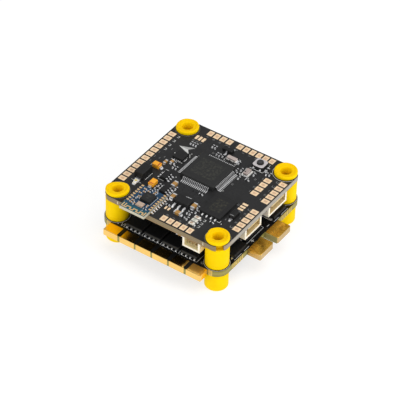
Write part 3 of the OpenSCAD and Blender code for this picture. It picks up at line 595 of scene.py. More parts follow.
    def make(self):
        me = bpy.data.meshes.new(self.name)
        me.from_pydata([(x * MM, y * MM, z * MM) for x, y, z in self.v], [], self.f)
        for m in self.mats:
            me.materials.append(M[m])
        me.polygons.foreach_set("material_index", self.mi)
        me.validate()
        me.update()
        o = bpy.data.objects.new(self.name, me)
        bpy.context.scene.collection.objects.link(o)
        if self.smooth:
            me.polygons.foreach_set("use_smooth", [True] * len(me.polygons))
            me.set_sharp_from_angle(angle=math.radians(self.smooth))
        if self.bevel:
            add_bevel(o, self.bevel, self.segments)
        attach(o, self.body)
        if self.repl:
            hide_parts(*self.repl)
        return o


def unit(a, b):
    dx, dy = a[0] - b[0], a[1] - b[1]
    ln = math.hypot(dx, dy) or 1.0
    return dx / ln, dy / ln


def offset(outline, d):
    """Outline moved outward by d, with mitred corners. It runs counter-clockwise."""
    n, out = len(outline), []
    for i in range(n):
        p, q, r = outline[i - 1], outline[i], outline[(i + 1) % n]
        a, b = unit(q, p), unit(r, q)
        n1, n2 = (a[1], -a[0]), (b[1], -b[0])
        mx, my = n1[0] + n2[0], n1[1] + n2[1]
        k = max(0.3, (mx * n1[0] + my * n1[1]))
        out.append((q[0] + mx * d / k, q[1] + my * d / k))
    return out


def rounded(x0, x1, y0, y1, r, k=4):
    out = []
    for cx, cy, a0 in ((x1 - r, y0 + r, -90), (x1 - r, y1 - r, 0), (x0 + r, y1 - r, 90), (x0 + r, y0 + r, 180)):
        for i in range(k + 1):
            t = math.radians(a0 + 90 * i / k)
            out.append((cx + r * math.cos(t), cy + r * math.sin(t)))
    return out


def add_bevel(o, width, segments=2, angle=35):
    b = o.modifiers.new("edge", "BEVEL")
    b.width = width * MM
    b.segments = segments
    b.limit_method = "ANGLE"
    b.angle_limit = math.radians(angle)
    b.harden_normals = True
    b.use_clamp_overlap = True
    return b


def dress(node, mat, bevel=None, segments=2):
    """A CAD node keeps its shape, and gets its material and soft edges."""
    o = NODE[node]
    o.data.materials.clear()
    o.data.materials.append(M[mat])
    if bevel:
        w = o.modifiers.new("join", "WELD")
        w.merge_threshold = 2e-7
        add_bevel(o, bevel, segments)
    return o


# ------------------------------------------------------------------ CAD nodes

dress("fc_board", "fc_mask")
dress("esc_board", "esc_mask")
# the flash terminals take the near-white solder, a painted highlight
for n, m, b in (("processor_body", "epoxy_mcu", 0.03), ("flash_chip", "epoxy_flash", 0.02), ("gyro_chip", "epoxy_dark", 0.02),
                ("power_diode", "epoxy_dark", 0.05), ("driver_chips", "epoxy", 0.03), ("voltage_regulator", "epoxy", 0.04),
                ("small_signal_parts", "epoxy_dark", 0.03), ("radio_chip", "epoxy_bt", 0.02), ("display_chip", "epoxy", 0.03),
                ("power_transistors", "epoxy_fet", 0.03), ("motor_controller_chips", "epoxy_grey", 0.02), ("gate_driver_chips", "epoxy", 0.02),
                ("surge_diode", "epoxy_dark", 0.06), ("processor_leads", "lead_tin", None), ("flash_terminals", "solder_painted_highlight", 0.04),
                ("tantalum_terminals", "solder", 0.04), ("power_diode_terminals", "tin", 0.05), ("driver_chip_leads", "lead_tin", 0.02),
                ("voltage_regulator_leads", "lead_tin", 0.06), ("small_signal_leads", "tin", 0.02), ("ceramic_capacitor_ends", "solder", 0.06),
                ("chip_resistor_ends", "solder", 0.04), ("connector_contacts", "tin", None), ("display_chip_leads", "tin", None),
                ("power_transistor_terminals", "solder", 0.05), ("surge_diode_terminals", "tin", 0.05), ("barometer_can", "can", 0.035),
                ("crystal_can", "can_long", 0.03), ("radio_crystal", "can_gold", 0.03), ("boot_button_base", "black_plastic", 0.04),
                ("boot_button_cover", "button_cover", 0.03), ("boot_button_dome", "steel", None), ("boot_button_plunger", "plunger_painted_light", 0.08),
                ("tantalum_capacitors", "tantalum", 0.04), ("status_led", "led_body", 0.04), ("signal_leds", "lamp_body", 0.015),
                ("ceramic_capacitors", "ceramic", 0.04), ("chip_resistors", "resistor", 0.02), ("radio_board", "navy", None),
                ("radio_antenna", "antenna", None), ("radio_castellations", "antenna", 0.02), ("video_connector", "nylon", 0.07),
                ("camera_connector", "nylon", 0.07), ("receiver_connector", "nylon", 0.07), ("harness_connector_upper", "nylon", 0.07),
                ("harness_connector_lower", "nylon", 0.07), ("usb_shell", "steel", 0.05), ("usb_tongue", "black_plastic", 0.05),
                ("power_inductors", "inductor", 0.08), ("current_shunt", "shunt", 0.06), ("fc_jumper_pads", "pad", 0.015),
                ("fc_solder_pads", "pad", None)):
    dress(n, m, b)


# ------------------------------------------------------------------ grommets

def grommet(b, cx, cy, z, t, first):
    """Soft grommet: long column under the board, neck in its hole, raised rim on top."""
    lo, hi = z - 5.4, z + t + 1.05
    R, r = 3.05, 1.5
    p = [(r, lo + 0.14), (r + 0.05, lo + 0.04), (r + 0.16, lo)]
    foot = 0.42 if first else 0.07
    for k in range(7):
        a = math.radians(-90 + 15 * k)
        p.append((R - foot + foot * math.cos(a), lo + foot + foot * math.sin(a)))
    p += [(R - 0.02, z - 2.6), (R, z - 0.16), (R - 0.05, z - 0.04), (R - 0.14, z), (2.0, z), (2.0, z + t), (R - 0.2, z + t),
          (R - 0.06, z + t + 0.05), (R, z + t + 0.2)]
    top = 0.38 if not first else 0.07
    for k in range(8):
        a = math.radians(90 * k / 7)
        p.append((R - top + top * math.cos(a), hi - top + top * math.sin(a)))
    if not first:
        p += [(2.46, hi - 0.01), (2.34, hi - 0.05), (2.26, hi - 0.13), (2.16, hi - 0.16), (1.8, hi - 0.17), (1.64, hi - 0.21), (1.53, hi - 0.3)]
    else:
        p += [(1.7, hi), (1.56, hi - 0.05)]
    p += [(r, hi - 0.42), (r, z)]
    b.lathe(p, cx, cy, 96)


up = Build("grommets_upper", ["silicone"], "grommet_silicone", smooth=50, replaces=("fc_grommets",))
dn = Build("grommets_lower", ["silicone"], "grommet_silicone", smooth=50, replaces=("esc_grommets",))
for sx in (-1, 1):
    for sy in (-1, 1):
        grommet(up, sx * HALF, sy * HALF, FC0, FC1 - FC0, False)
        grommet(dn, sx * HALF, sy * HALF, E0, E1 - E0, True)


def press(b, cx, cy, far, drop, pinch, lobe):
    """Sink and pull in the far side of one soft rim. The bore keeps its place."""
    for i, (x, y, z) in enumerate(b.v):
        u, v = x - cx, y - cy
        if max(abs(u), abs(v)) > 3.3 or z <= FC1:
            continue
        h = (z - FC1) / 1.05
        t = max(0.0, (u * far[0] + v * far[1]) / 3.05 + 0.45) / 1.45
        l = (far[0] * v - far[1] * u) / 3.05
        k = h * t * t
        z -= k * drop * (1.0 - lobe * l * l)
        if math.hypot(u, v) > 1.9:
            x, y = x - far[0] * pinch * k, y - far[1] * pinch * k
        b.v[i] = (x, y, z)


def dent(b, cx, cy, angle, width, depth):
    """A shallow nick in the outer wall of one soft rim."""
    for i, (x, y, z) in enumerate(b.v):
        u, v = x - cx, y - cy
        r = math.hypot(u, v)
        if r > 3.3 or r < 2.5 or z <= FC1:
            continue
        d = (math.degrees(math.atan2(v, u)) - angle + 180) % 360 - 180
        k = depth * math.exp(-(d / width) ** 2) * min(1.0, (z - FC1) / 0.5)
        b.v[i] = (x - u / r * k, y - v / r * k, z)


press(up, -HALF, HALF, (0.83, 0.557), 0.62, 0.22, 0.35)
press(up, HALF, -HALF, (0.83, 0.557), -0.12, 0.0, 0.0)
press(up, HALF, HALF, (-0.4, 0.916), 0.16, 0.08, 0.2)
dent(up, -HALF, -HALF, 100, 13, 0.26)
dent(up, -HALF, -HALF, -60, 20, 0.07)
dent(up, HALF, HALF, 20, 24, 0.10)
up.make()
dn.make()


# ------------------------------------------------------------------ heavy gold pads

PT = 0.06
ends = []
for i in range(6):
    c = (i - 2.5) * 5.1
    ends.append((-15 if i == 0 else c - 2.55 + (0.35 if i == 1 else 0.25), 15 if i == 5 else c + 2.55 - (0.35 if i == 4 else 0.25)))
for side, name, node in ((-1, "motor_pad_blocks_left", "motor_pads_left"), (1, "motor_pad_blocks_right", "motor_pads_right")):
    b = Build(name, ["gold"], "heavy_gold", smooth=40, bevel=0.1, segments=4, replaces=(node,))
    for i, (a0, a1) in enumerate(ends):
        x0, x1 = -21.95, -18.9
        a0, a1 = max(a0, -14.85), min(a1, 14.85)
        o = [(x0, a0), (x1, a0), (x1, a1), (x0, a1)]
        o = [(-side * x, y) for x, y in o] if side > 0 else o
        b.prism(o, E0 - PT, E1 + PT)
    b.make()
for side, name, node in ((-1, "battery_block_minus", "battery_pad_minus"), (1, "battery_block_plus", "battery_pad_plus")):
    b = Build(name, ["gold_battery"], "heavy_gold", smooth=40, bevel=0.14, segments=4, replaces=(node,))
    o = [(-6.9, -ESCH - 0.05), (-6.9, -22.4), (-6.65, -22.65), (-1.25, -22.65), (-1.03, -22.43), (-1.03, -ESCH - 0.05)]
    b.prism([(-side * x, y) for x, y in o] if side > 0 else o, E0 - PT, E1 + PT)
    b.make()

# black mask stripes over the plating between the motor pads, on both faces
b = Build("pad_mask_stripes", ["mask_strip"], "esc_solder_mask")
for side in (-1, 1):
    for face in ("esc", "uesc"):
        b.at(face)
        for i in range(5):
            c = (ends[i][1] + ends[i + 1][0]) / 2
            w = 1.14
            x0, x1 = sorted((side * 18.75, side * 21.78))
            b.box(x0, x1, c - w / 2, c + w / 2, 0.0, 0.075)
b.make()

# plated half holes on the board's edge, beside the corners, and small plated edge patches
b = Build("edge_plating", ["edge_gold"], "heavy_gold", smooth=40)
for sgn in (-1, 1):
    for k in range(6):
        x = sgn * (8.98 + 0.84 * k)
        arc = [(x + 0.21 * math.cos(math.pi + math.pi * j / 10), -ESCH + 0.02 + 0.12 * math.sin(math.pi + math.pi * j / 10)) for j in range(11)]
        b.prism(arc, E0 + 0.02, E1 - 0.02)
for sx in (-1, 1):
    for sy in (-1, 1):
        cx, cy = sx * HALF, sy * HALF
        for t0, t1 in ((0.0, 6.5), (7.5, 15.0)):
            arc = [math.radians(t0 + (t1 - t0) * j / 6) for j in range(7)]
            o = [(cx + sx * 3.36 * math.cos(q), cy + sy * 3.36 * math.sin(q)) for q in arc]
            o += [(cx + sx * 3.44 * math.cos(q), cy + sy * 3.44 * math.sin(q)) for q in arc[::-1]]
            b.prism(o, E0 + 0.02, E1 - 0.02)
        x0, x1 = sorted((sx * (ESCH - 0.04), sx * (ESCH + 0.04)))
        y0, y1 = sorted((sy * 14.9, sy * 15.22))
        b.box(x0, x1, y0, y1, E0 + 0.02, E1 - 0.02)
b.make()

# bare laminate on the walls of the slot between the battery pads
b = Build("slot_walls", ["laminate"], "esc_solder_mask")
for sgn in (-1, 1):
    b.box(*sorted((sgn * 0.9, sgn * 1.04)), -22.4, -ESCH - 0.02, E0 - PT + 0.03, E1 + PT - 0.03)
b.make()


# ------------------------------------------------------------------ what sits where

PADS = [(-10.7 + i * 1.965, 17.05, 1.5, 1.9) for i in range(12)]
PADS += [(16.95, 9.05 - i * 1.965, 1.9, 1.5) for i in range(4)] + [(16.95, -0.1 - i * 1.965, 1.9, 1.5) for i in range(6)]
PADS += [(-17.05, -0.3 - i * 1.965, 1.9, 1.5) for i in range(5)]
PADS += [(-9.8 + i * 1.965, -17.15, 1.5, 1.9) for i in range(5)] + [(3.05 + i * 1.965, -17.15, 1.5, 1.9) for i in range(5)]
PADS += [(4.05 + i * 1.965, -13.2, 1.5, 1.9) for i in range(4)]
RES = [(13.0, 5.55, 0), (13.0, 4.7, 0), (11.1, 2.95, 0), (11.0, 2.1, 0), (11.3, 1.25, 0), (10.8, 10.8, 0), (10.8, 10.0, 0),
       (10.8, 9.2, 0), (8.8, -4.7, 0), (9.6, -5.65, 0), (7.9, -5.7, 90), (6.5, -6.8, 0), (7.0, -8.9, 90), (9.9, -9.25, 0),
       (11.9, -11.7, 0), (12.2, -12.5, 0), (0.3, 9.0, 0), (0.3, 8.1, 0), (-12.5, 1.7, 90), (-14.0, -4.0, 90), (-13.8, -5.2, 0),
       (-11.9, -4.0, 0), (-11.9, -4.8, 0), (-8.9, -5.0, 0), (-10.5, -5.6, 0), (-11.5, -10.8, 90), (-9.95, 7.0, 90), (-6.2, 3.6, 0),
       (-4.4, -2.6, 90), (-7.6, 7.75, 0), (-8.9, 8.0, 0), (11.4, -3.6, 0), (1.7, 9.6, 0)]
SCAP = [(0.6, 11.8, 0), (1.7, 10.5, 0), (13.2, -10.95, 0)]
LCAP = [(-5.3, 4.75, 0), (-9.4, 2.3, 0), (-13.7, -2.15, 90), (-9.3, -4.0, 0)]
UCAP = [(-17.3, -5.6, 90), (3.6, -9.2, 90), (3.6, -5.8, 90), (-12.2, -6.2, 90), (-12.2, -9.0, 90), (-9.3, 5.0, 90)]
FETS = [(s * 14.8, k * 5.6, 0 if s < 0 else 180) for s in (-1, 1) for k in (-1.5, -0.5, 0.5, 1.5)]
FETS += [(s * 8.9, t * 15.6, 0 if s < 0 else 180) for t in (-1, 1) for s in (-1, 1)]

# the centre of each edge pad is a little darker
b = Build("pad_centres", ["pad_mid"], "pad_gold")
for x, y, w, d in PADS:
    b.at("fc", x, y)
    b.prism(rounded(-w * 0.24, w * 0.24, -d * 0.25, d * 0.25, 0.08, 3), 0.045, 0.058)
b.make()


# ------------------------------------------------------------------ solder

# joints painted near white as painted highlights go in their own object
painted_highlight = Build("solder_highlight_fc", ["solder_painted_highlight"], "tinned_lead", smooth=40)
s = Build("solder_fc", ["solder"], "tinned_lead", smooth=40)
for group, ln, w, h, side in ((RES, 1.0, 0.5, 0.27, "fc"), (SCAP, 1.5, 0.75, 0.4, "fc"), (LCAP, 2.0, 1.1, 0.6, "fc"), (UCAP, 2.0, 1.2, 0.6, "ufc")):
    for x, y, a in group:
        s.at(side, x, y, a)
        for q in (0, 180):
            sg = 1 if q == 0 else -1
            s.fillet(sg * ln / 2, 0, q, 0.13 + 0.07 * ln / 2, w * 0.84, h * rnd.uniform(0.6, 0.85))
for q in range(4):
    s.at("fc", 3.3, 0.6, q * 90)
    for i in range(16):
        y = (i - 7.5) * 0.5
        s.box(6.1, 6.6, y - 0.1, y + 0.1, 0.0, 0.03)
        s.fillet(6.3, y, 0, 0.2, 0.17, 0.08, 0.02)
for x, y, side in ((-4.0, 8.45, "fc"), (-8.4, 5.55, "fc"), (8.4, -4.6, "ufc"), (8.4, -10.2, "ufc")):
    for sg in (-1, 1):
        for i in (-1, 0, 1):
            s.at(side, x + i * 0.95, y + sg * 0.8, sg * 90)
            s.box(0.45, 1.0, -0.2, 0.2, 0.0, 0.035)
            s.fillet(0.82, 0, 0, 0.16, 0.28, 0.12, 0.01)
s.at("ufc", -2.5, 5.0)
for sg in (-1, 1):
    for i in range(14):
        s.at("ufc", -2.5 + (i - 6.5) * 0.65, 5.0 + sg * 2.2, sg * 90)
        s.box(0.5, 1.3, -0.17, 0.17, 0.0, 0.03)
        s.fillet(1.0, 0, 0, 0.26, 0.26, 0.13, 0.01)
for i in range(4):
    y = -9.1 + (i - 1.5) * 1.27
    for sg, q in ((-1, 180), (1, 0)):
        s.at("fc", -5.9, y)
        s.fillet(sg * 4.48, 0, q, 0.2, 0.34, 0.14)
        if sg < 0:
            painted_highlight.at("fc", -5.9, y)
            painted_highlight.dome(-4.58, 0, 0.19, 0.24)
for x, y, a, ln, w, h in ((-1.95, 12.65, 90, 2.7, 1.0, 0.45), (-8.2, 9.4, 0, 2.8, 1.0, 0.45), (-6.45, 13.6, 0, 5.3, 1.5, 0.35),
                          (-10.0, 13.4, 0, 1.7, 0.9, 0.34), (-6.15, -13.95, 0, 3.9, 0.6, 0.14)):
    s.at("fc", x, y, a)
    for q, sg in ((0, 1), (180, -1)):
        s.fillet(sg * ln / 2, 0, q, 0.42, w * 0.96, h)
s.at("fc", -9.7, -1.05)
for i in (-1, 0, 1):
    painted_highlight.at("fc", -9.7, -1.05)
    painted_highlight.fillet(-2.42, i * 1.5, 180, 0.5, 0.46, 0.3)
s.fillet(2.3, 0, 0, 0.5, 1.6, 0.4)
for x, y, q in ((15.0, 0.4, 0), (15.0, 2.3, 0), (12.4, 1.35, 180)):
    s.at("fc", x, y, q)
    s.box(-0.35, 0.28, -0.28, 0.28, 0, 0.035)
    s.fillet(0.0, 0, 0, 0.22, 0.38, 0.15)
for x in (-14.88, -13.63, -12.38):
    for sg, q in ((-1, 270), (1, 90)):
        s.at("fc", x, -7.2)
        s.fillet(0, sg * 0.8, q, 0.22, 0.6, 0.3)
s.at("fc", 13.65, -8.5)
for sx in (-1, 1):
    for sy in (-1, 1):
        s.box(*sorted((sx * 1.45, sx * 2.02)), sy * 0.98 - 0.28, sy * 0.98 + 0.28, 0, 0.16, inset=0.05)
        s.fillet(sx * 1.56, sy * 0.98, 0 if sx > 0 else 180, 0.42, 0.5, 0.42)
s.at("fc", 9.3, -7.45)
for sx in (-1, 1):
    for y in (-0.65, 0, 0.65):
        s.fillet(sx * 1.25, y, 0 if sx > 0 else 180, 0.22, 0.34, 0.2)
s.at("fc", 11.45, -1.35)
for sg, q in ((-1, 270), (1, 90)):
    s.fillet(0, sg * 1.45, q, 0.4, 1.1, 0.28)
s.at("fc", 4.6, 9.9)
for q in range(4):
    for i in range(4):
        t = math.radians(q * 90)
        y = (i - 1.5) * 0.55
        s.fillet(math.cos(t) * 1.5 - math.sin(t) * y, math.sin(t) * 1.5 + math.cos(t) * y, q * 90, 0.14, 0.24, 0.1)
# joints of the radio module on the board below it
for sg, y0, q in ((-1, 3.45, 270), (1, 10.95, 90)):
    for i in range(8):
        x = -17.25 + i * 0.91
        s.at("fc", x, y0)
        s.fillet(0, sg * 0.1, q, 0.62, 0.4, 0.62 * rnd.uniform(0.85, 1.05))
# connector tails and side tabs
for side, x, y, a, n in (("ufc", -FCH, -9.5, -90, 3), ("ufc", -4.1, -FCH, 0, 5), ("ufc", 6.9, -FCH, 0, 6), ("ufc", 0, FCH, 180, 8), ("esc", 0, ESCH, 180, 8)):
    w = (n - 1) + 3.2
    for i in range(n):
        s.at(side, x, y, a)
        cx = i - (n - 1) / 2
        s.box(cx - 0.2, cx + 0.2, 4.25, 5.05, 0, 0.03)
        s.fillet(cx, 4.85, 90, 0.2, 0.24, 0.18)
    for sg in (-1, 1):
        s.at(side, x, y, a)
        s.box(*sorted((sg * (w / 2 + 0.02), sg * (w / 2 + 0.62))), 0.45, 2.15, 0, 0.05)
        s.fillet(sg * (w / 2 + 0.2), 1.3, 0 if sg > 0 else 180, 0.36, 1.5, 0.7)
s.at("ufc", -8.6, -7.6)
for x in (-8.6, -0.6):
    for sg in (-1, 1):
        s.at("ufc", x, -7.6)
        s.fillet(sg * 2.12, 0, 0 if sg > 0 else 180, 0.4, 2.8, 0.5)
painted_highlight.make()
s.make()

painted_highlight = Build("solder_highlight_esc", ["solder_painted_highlight"], "tinned_lead", smooth=40)
s = Build("solder_esc", ["solder"], "tinned_lead", smooth=40)
for x, y, a in FETS:
    for side in ("esc", "uesc"):
        for i in range(4):
            s.at(side, x, y, a)
            painted_highlight.at(side, x, y, a)
            s.fillet(-3.2, (i - 1.5) * 1.27, 180, 0.22, 0.34, 0.12)
            if abs(y) < 15:
                painted_highlight.dome(-3.3, (i - 1.5) * 1.27, 0.145 * rnd.uniform(0.9, 1.2), 0.2)
                # tiny extra dots of near-white solder, painted glints between the transistor leads
                for q in (-0.42, 0.42, 0.64):
                    painted_highlight.dome(-3.42, (i - 1.5) * 1.27 + q, 0.07, 0.06, n=8)
        s.at(side, x, y, a)
        s.fillet(3.08, 0, 0, 0.34, 4.1, 0.26)
for x in (-7.5, -4.5, 4.5, 7.5):
    for y in (-11.2, 11.2):
        for q, sg in ((90, 1), (270, -1)):
            s.at("uesc", x, y)
            s.fillet(0, sg * 1.5, q, 0.45, 1.5, 0.8)
for side in ("esc", "uesc"):
    for x in (-6.6, 6.6):
        for y in (-4.2, 4.2):
            s.at(side, x, y)
            for q in range(4):
                t = math.radians(q * 90)
                for i in range(6):
                    v = (i - 2.5) * 0.55
                    s.fillet(math.cos(t) * 2.0 - math.sin(t) * v, math.sin(t) * 2.0 + math.cos(t) * v, q * 90, 0.2, 0.26, 0.12)
s.at("esc", -1.6, -14.3)
for sg in (-1, 1):
    s.fillet(sg * 3.68, 0, 0 if sg > 0 else 180, 0.5, 2.9, 0.46)
s.at("uesc", 0, -14.8, 90)
for sg in (-1, 1):
    s.fillet(sg * 3.18, 0, 0 if sg > 0 else 180, 0.55, 2.9, 0.46)
s.make()
painted_highlight.make()

# grey painted light on each power transistor: a sheet on its lead-side face and a strip along one top edge, lit by the
# side light
b = Build("transistor_lit_strips", ["epoxy_band"], "chip_epoxy")
for x, y, a in FETS:
    for side in ("esc", "uesc"):
        b.at(side, x, y, a)
        b.box(-2.815, -2.79, -2.3, 2.3, 0.34, 0.9)
        q = -1 if a == 0 else 1
        b.box(-2.7, 2.7, *sorted((q * 2.43, q * 2.36)), 0.99, 1.012)
b.make()


# ------------------------------------------------------------------ traces and vias

def keep_out(x, y, boxes, m=0.0):
    return any(x0 - m < x < x1 + m and y0 - m < y < y1 + m for x0, y0, x1, y1 in boxes)


def around(x, y, w, d):
    return (x - w / 2, y - d / 2, x + w / 2, y + d / 2)


TOP = [around(3.3, 0.6, 13.6, 13.6), around(-5.9, -9.1, 9.6, 6.4), around(4.6, 9.9, 3.5, 3.5), around(9.3, -7.45, 3.2, 2.6),
       around(11.45, -1.35, 2.0, 4.0), around(13.65, -8.5, 4.4, 3.6), around(-1.95, 12.65, 1.8, 3.6), around(-8.2, 9.4, 3.6, 1.8),
       around(-6.45, 13.6, 6.4, 2.9), around(-10.0, 13.4, 2.6, 1.3), around(-9.7, -1.05, 6.2, 5.0), around(-6.15, -13.95, 5.0, 1.9),
       around(13.7, 1.35, 3.4, 3.4), around(-13.35, -7.25, 3.9, 2.4), (-20.6, 2.4, -10.6, 12.0), around(-4.0, 8.45, 3.4, 4.2),
       around(-8.4, 5.55, 3.4, 4.2), around(8.2, 11.0, 3.4, 4.6), around(13.7, 10.1, 2.0, 3.2), around(-2.0, -13.75, 3.2, 2.0),
       around(-13.5, 1.15, 1.5, 1.8)]
TOP += [around(x, y, 1.8, 1.2) if a == 0 else around(x, y, 1.2, 1.8) for x, y, a in RES + SCAP]
TOP += [around(x, y, 2.9, 1.6) if a == 0 else around(x, y, 1.6, 2.9) for x, y, a in LCAP]
TOP += [around(x, y, w + 0.2, d + 0.2) for x, y, w, d in PADS]
TOP += [around(sx * HALF, sy * HALF, 7.0, 7.0) for sx in (-1, 1) for sy in (-1, 1)]
UND = [around(-2.5, 5.0, 10.2, 7.4), around(-8.6, -7.6, 5.4, 4.6), around(-0.6, -7.6, 5.4, 4.6), around(8.4, -4.6, 3.4, 4.2), around(8.4, -10.2, 3.4, 4.2),
       (-18.4, -12.8, -12.8, -6.2), (-8.5, -18.4, 0.3, -12.9), (2.0, -18.4, 11.8, -12.9), (-6.0, 12.9, 6.0, 18.4), (11.0, -1.6, 19.2, 8.6)]
UND += [around(x, y, 1.8, 2.9) for x, y, a in UCAP]
UND += [around(sx * HALF, sy * HALF, 7.4, 7.4) for sx in (-1, 1) for sy in (-1, 1)]
ESC_T = [around(x, y, 7.6, 5.3) for x, y, a in FETS] + [around(x, y, 5.0, 5.0) for x in (-6.6, 6.6) for y in (-4.2, 4.2)]
ESC_T += [around(sx * HALF, sy * HALF, 7.4, 7.4) for sx in (-1, 1) for sy in (-1, 1)] + [(-22, -15, -18.6, 15), (18.6, -15, 22, 15)]
ESC_B = list(ESC_T)
ESC_T += [around(-1.6, -14.3, 8.4, 7.2), (-6.0, 12.9, 6.0, 18.6)]
ESC_B += [around(x, y, 2.2, 4.2) for x in (-7.5, -4.5, 4.5, 7.5) for y in (-11.2, 11.2)] + [around(0, -14.8, 3.6, 7.8)]

t = Build("fc_traces", ["trace"], "solder_mask")
v = Build("fc_vias", ["trace", "hole_shade"], "solder_mask", smooth=40)
TZ = 0.012


def via(b, x, y, r=0.2):
    # a copper ring, and a dark dot of painted shade in place of the open hole
    b.lathe([(0.075, 0.0), (r, 0.0), (r, TZ), (r - 0.04, TZ + 0.012), (0.11, TZ + 0.012), (0.075, 0.006)], x, y, 14, 0)
    b.dome(x, y, 0.08, 0.006, 0.0, 8, 1)


def runs(tb, vb, side, starts, boxes, w=0.16, half=17.6):
    """From each start a trace goes out straight, then at 45 degrees, then straight again to a via."""
    for x, y, dx, dy in starts:
        for _ in range(6):
            l1, l2, l3 = rnd.uniform(0.3, 1.5), rnd.uniform(0.3, 1.3), rnd.uniform(0.2, 2.2)
            sg = rnd.choice((-1, 1))
            p1 = (x + dx * l1, y + dy * l1)
            ex, ey = (dx - sg * dy) * 0.7071, (dy + sg * dx) * 0.7071
            p2 = (p1[0] + ex * l2, p1[1] + ey * l2)
            p3 = (p2[0] + dx * l3, p2[1] + dy * l3)
            if abs(p3[0]) < half and abs(p3[1]) < half and not keep_out(*p3, boxes, 0.18):
                tb.at(side)
                tb.stroke([(x, y), p1, p2, p3], w, 0.0, TZ)
                vb.at(side)
                via(vb, *p3)
                break


starts = []
for q, (dx, dy) in enumerate(((1, 0), (0, 1), (-1, 0), (0, -1))):
    for i in range(16):
        u = (i - 7.5) * 0.5
        starts.append((3.3 + dx * 6.6 - dy * u, 0.6 + dy * 6.6 + dx * u, dx, dy))
for x, y, w, d in PADS:
    dx, dy = (0, -1) if y > 16 else (0, 1) if y < -12 else (-1, 0) if x > 16 else (1, 0)
    starts.append((x + dx * 0.9, y + dy * 0.9, dx, dy))
for x, y, a in RES + SCAP:
    for sg in (-1, 1):
        c, sn = math.cos(math.radians(a)) * sg, math.sin(math.radians(a)) * sg
        starts.append((x + c * 0.7, y + sn * 0.7, c, sn))
runs(t, v, "fc", starts, TOP, 0.15)
starts = [(-2.5 + (i - 6.5) * 0.65, 5.0 + sg * 3.5, 0, sg) for i in range(14) for sg in (-1, 1)]
starts += [(x + c * 1.3, y, c, 0) for x, y, a in UCAP for c in (-1, 1)] + [(8.4 + i * 0.95, y + sg * 1.9, 0, sg) for y in (-4.6, -10.2) for i in (-1, 0, 1) for sg in (-1, 1)]
starts += [(-2.5 + i, -12.9, 0, 1) for i in range(-3, 3)] + [(6.9 + i - 2.5, -12.9, 0, 1) for i in range(6)] + [(i - 3.5, 12.9, 0, -1) for i in range(8)]
runs(t, v, "ufc", starts, UND, 0.16)


def scatter(vb, side, boxes, n, half, r=0.2):
    for _ in range(n * 4):
        x, y = rnd.uniform(-half, half), rnd.uniform(-half, half)
        if n <= 0:
            break
        if not keep_out(x, y, boxes, 0.3):
            vb.at(side)
            via(vb, x, y, r)
            n -= 1


scatter(v, "fc", TOP, 34, 15.4)
scatter(v, "ufc", UND, 60, 16.5)
t.make()
v.make()

t = Build("esc_traces", ["trace_esc"], "esc_solder_mask")
v = Build("esc_vias", ["trace_esc", "hole_shade"], "esc_solder_mask", smooth=40)
for side, boxes in (("esc", ESC_T), ("uesc", ESC_B)):
    starts = []
    for cx in (-6.6, 6.6):
        for cy in (-4.2, 4.2):
            for dx, dy in ((1, 0), (0, 1), (-1, 0), (0, -1)):
                for i in range(6):
                    u = (i - 2.5) * 0.55
                    starts.append((cx + dx * 2.2 - dy * u, cy + dy * 2.2 + dx * u, dx, dy))
    runs(t, v, side, starts, boxes, 0.18, 18.0)
    scatter(v, side, boxes, 46, 17.8, 0.22)
    # close stitching between the transistors and the motor pads
    for sx in (-1, 1):
        for k in range(-10, 11):
            if abs(k * 1.12) > 11.6:
                continue
            v.at(side)
            via(v, sx * 11.15, k * 1.12, 0.19)
t.make()
v.make()


# ------------------------------------------------------------------ printed marks

w_ = Build("fc_print", ["white_silk"], "solder_mask")
g_ = Build("fc_print_faint", ["grey_silk"], "solder_mask")
Z0, Z1 = 0.0, 0.02
w_.at("fc")
g_.at("fc")
# direction arrow, a swept head with a notched tail
w_.prism([(8.2, 12.9), (6.75, 8.95), (8.2, 10.1)], Z0, Z1)
h_ = Build("fc_arrow_shade", ["silk_shade"], "solder_mask")
h_.at("fc")
h_.prism([(8.2, 12.9), (8.2, 10.1), (9.7, 8.9)], Z0, Z1)
h_.make()
for pts, wd in (([(2.85, 8.2), (2.85, 11.6)], 0.13), ([(3.8, 8.15), (4.9, 8.15)], 0.13), ([(5.8, 7.9), (6.9, 8.6)], 0.14),
                ([(-10.35, -11.6), (-10.35, -12.35), (-9.6, -12.35)], 0.14), ([(-8.0, 12.02), (-4.7, 12.02)], 0.12),
                ([(-9.6, 15.1), (-9.6, 12.1)], 0.1), ([(-5.55, 8.0), (-5.55, 9.7)], 0.12), ([(-1.5, 9.2), (-1.5, 10.2)], 0.12),
                ([(11.72, -10.4), (11.72, -6.5)], 0.17), ([(11.72, -10.45), (15.5, -10.45)], 0.1), ([(-0.3, -5.75), (0.3, -6.5)], 0.12),
                ([(-9.95, -6.1), (-9.95, -5.85), (-1.85, -5.85)], 0.1), ([(-11.3, 3.6), (-6.9, 3.6)], 0.09)):
    w_.stroke(pts, wd, Z0, Z1)
for x, y, r in ((5.2, 12.1, 0.16), (7.3, 8.3, 0.14), (-5.0, 10.15, 0.13), (-3.1, 10.25, 0.13), (6.2, -6.55, 0.17), (-12.4, 2.4, 0.14),
                (-10.5, -13.0, 0.15), (-2.5, 6.3, 0.15)):
    w_.lathe([(0.0, Z0), (r, Z0), (r, Z1), (0.0, Z1)], x, y, 16)
# round the barometer and the crystal
for x0, y0, x1, y1 in ((7.65, -8.75, 10.95, -6.15), (10.35, -3.2, 12.55, 0.5)):
    for pts in ([(x0 + 0.5, y0), (x0, y0), (x0, y0 + 0.5)], [(x1 - 0.5, y0), (x1, y0), (x1, y0 + 0.5)],
                [(x0 + 0.5, y1), (x0, y1), (x0, y1 - 0.5)], [(x1 - 0.5, y1), (x1, y1), (x1, y1 - 0.5)]):
        w_.stroke(pts, 0.1, Z0, Z1)
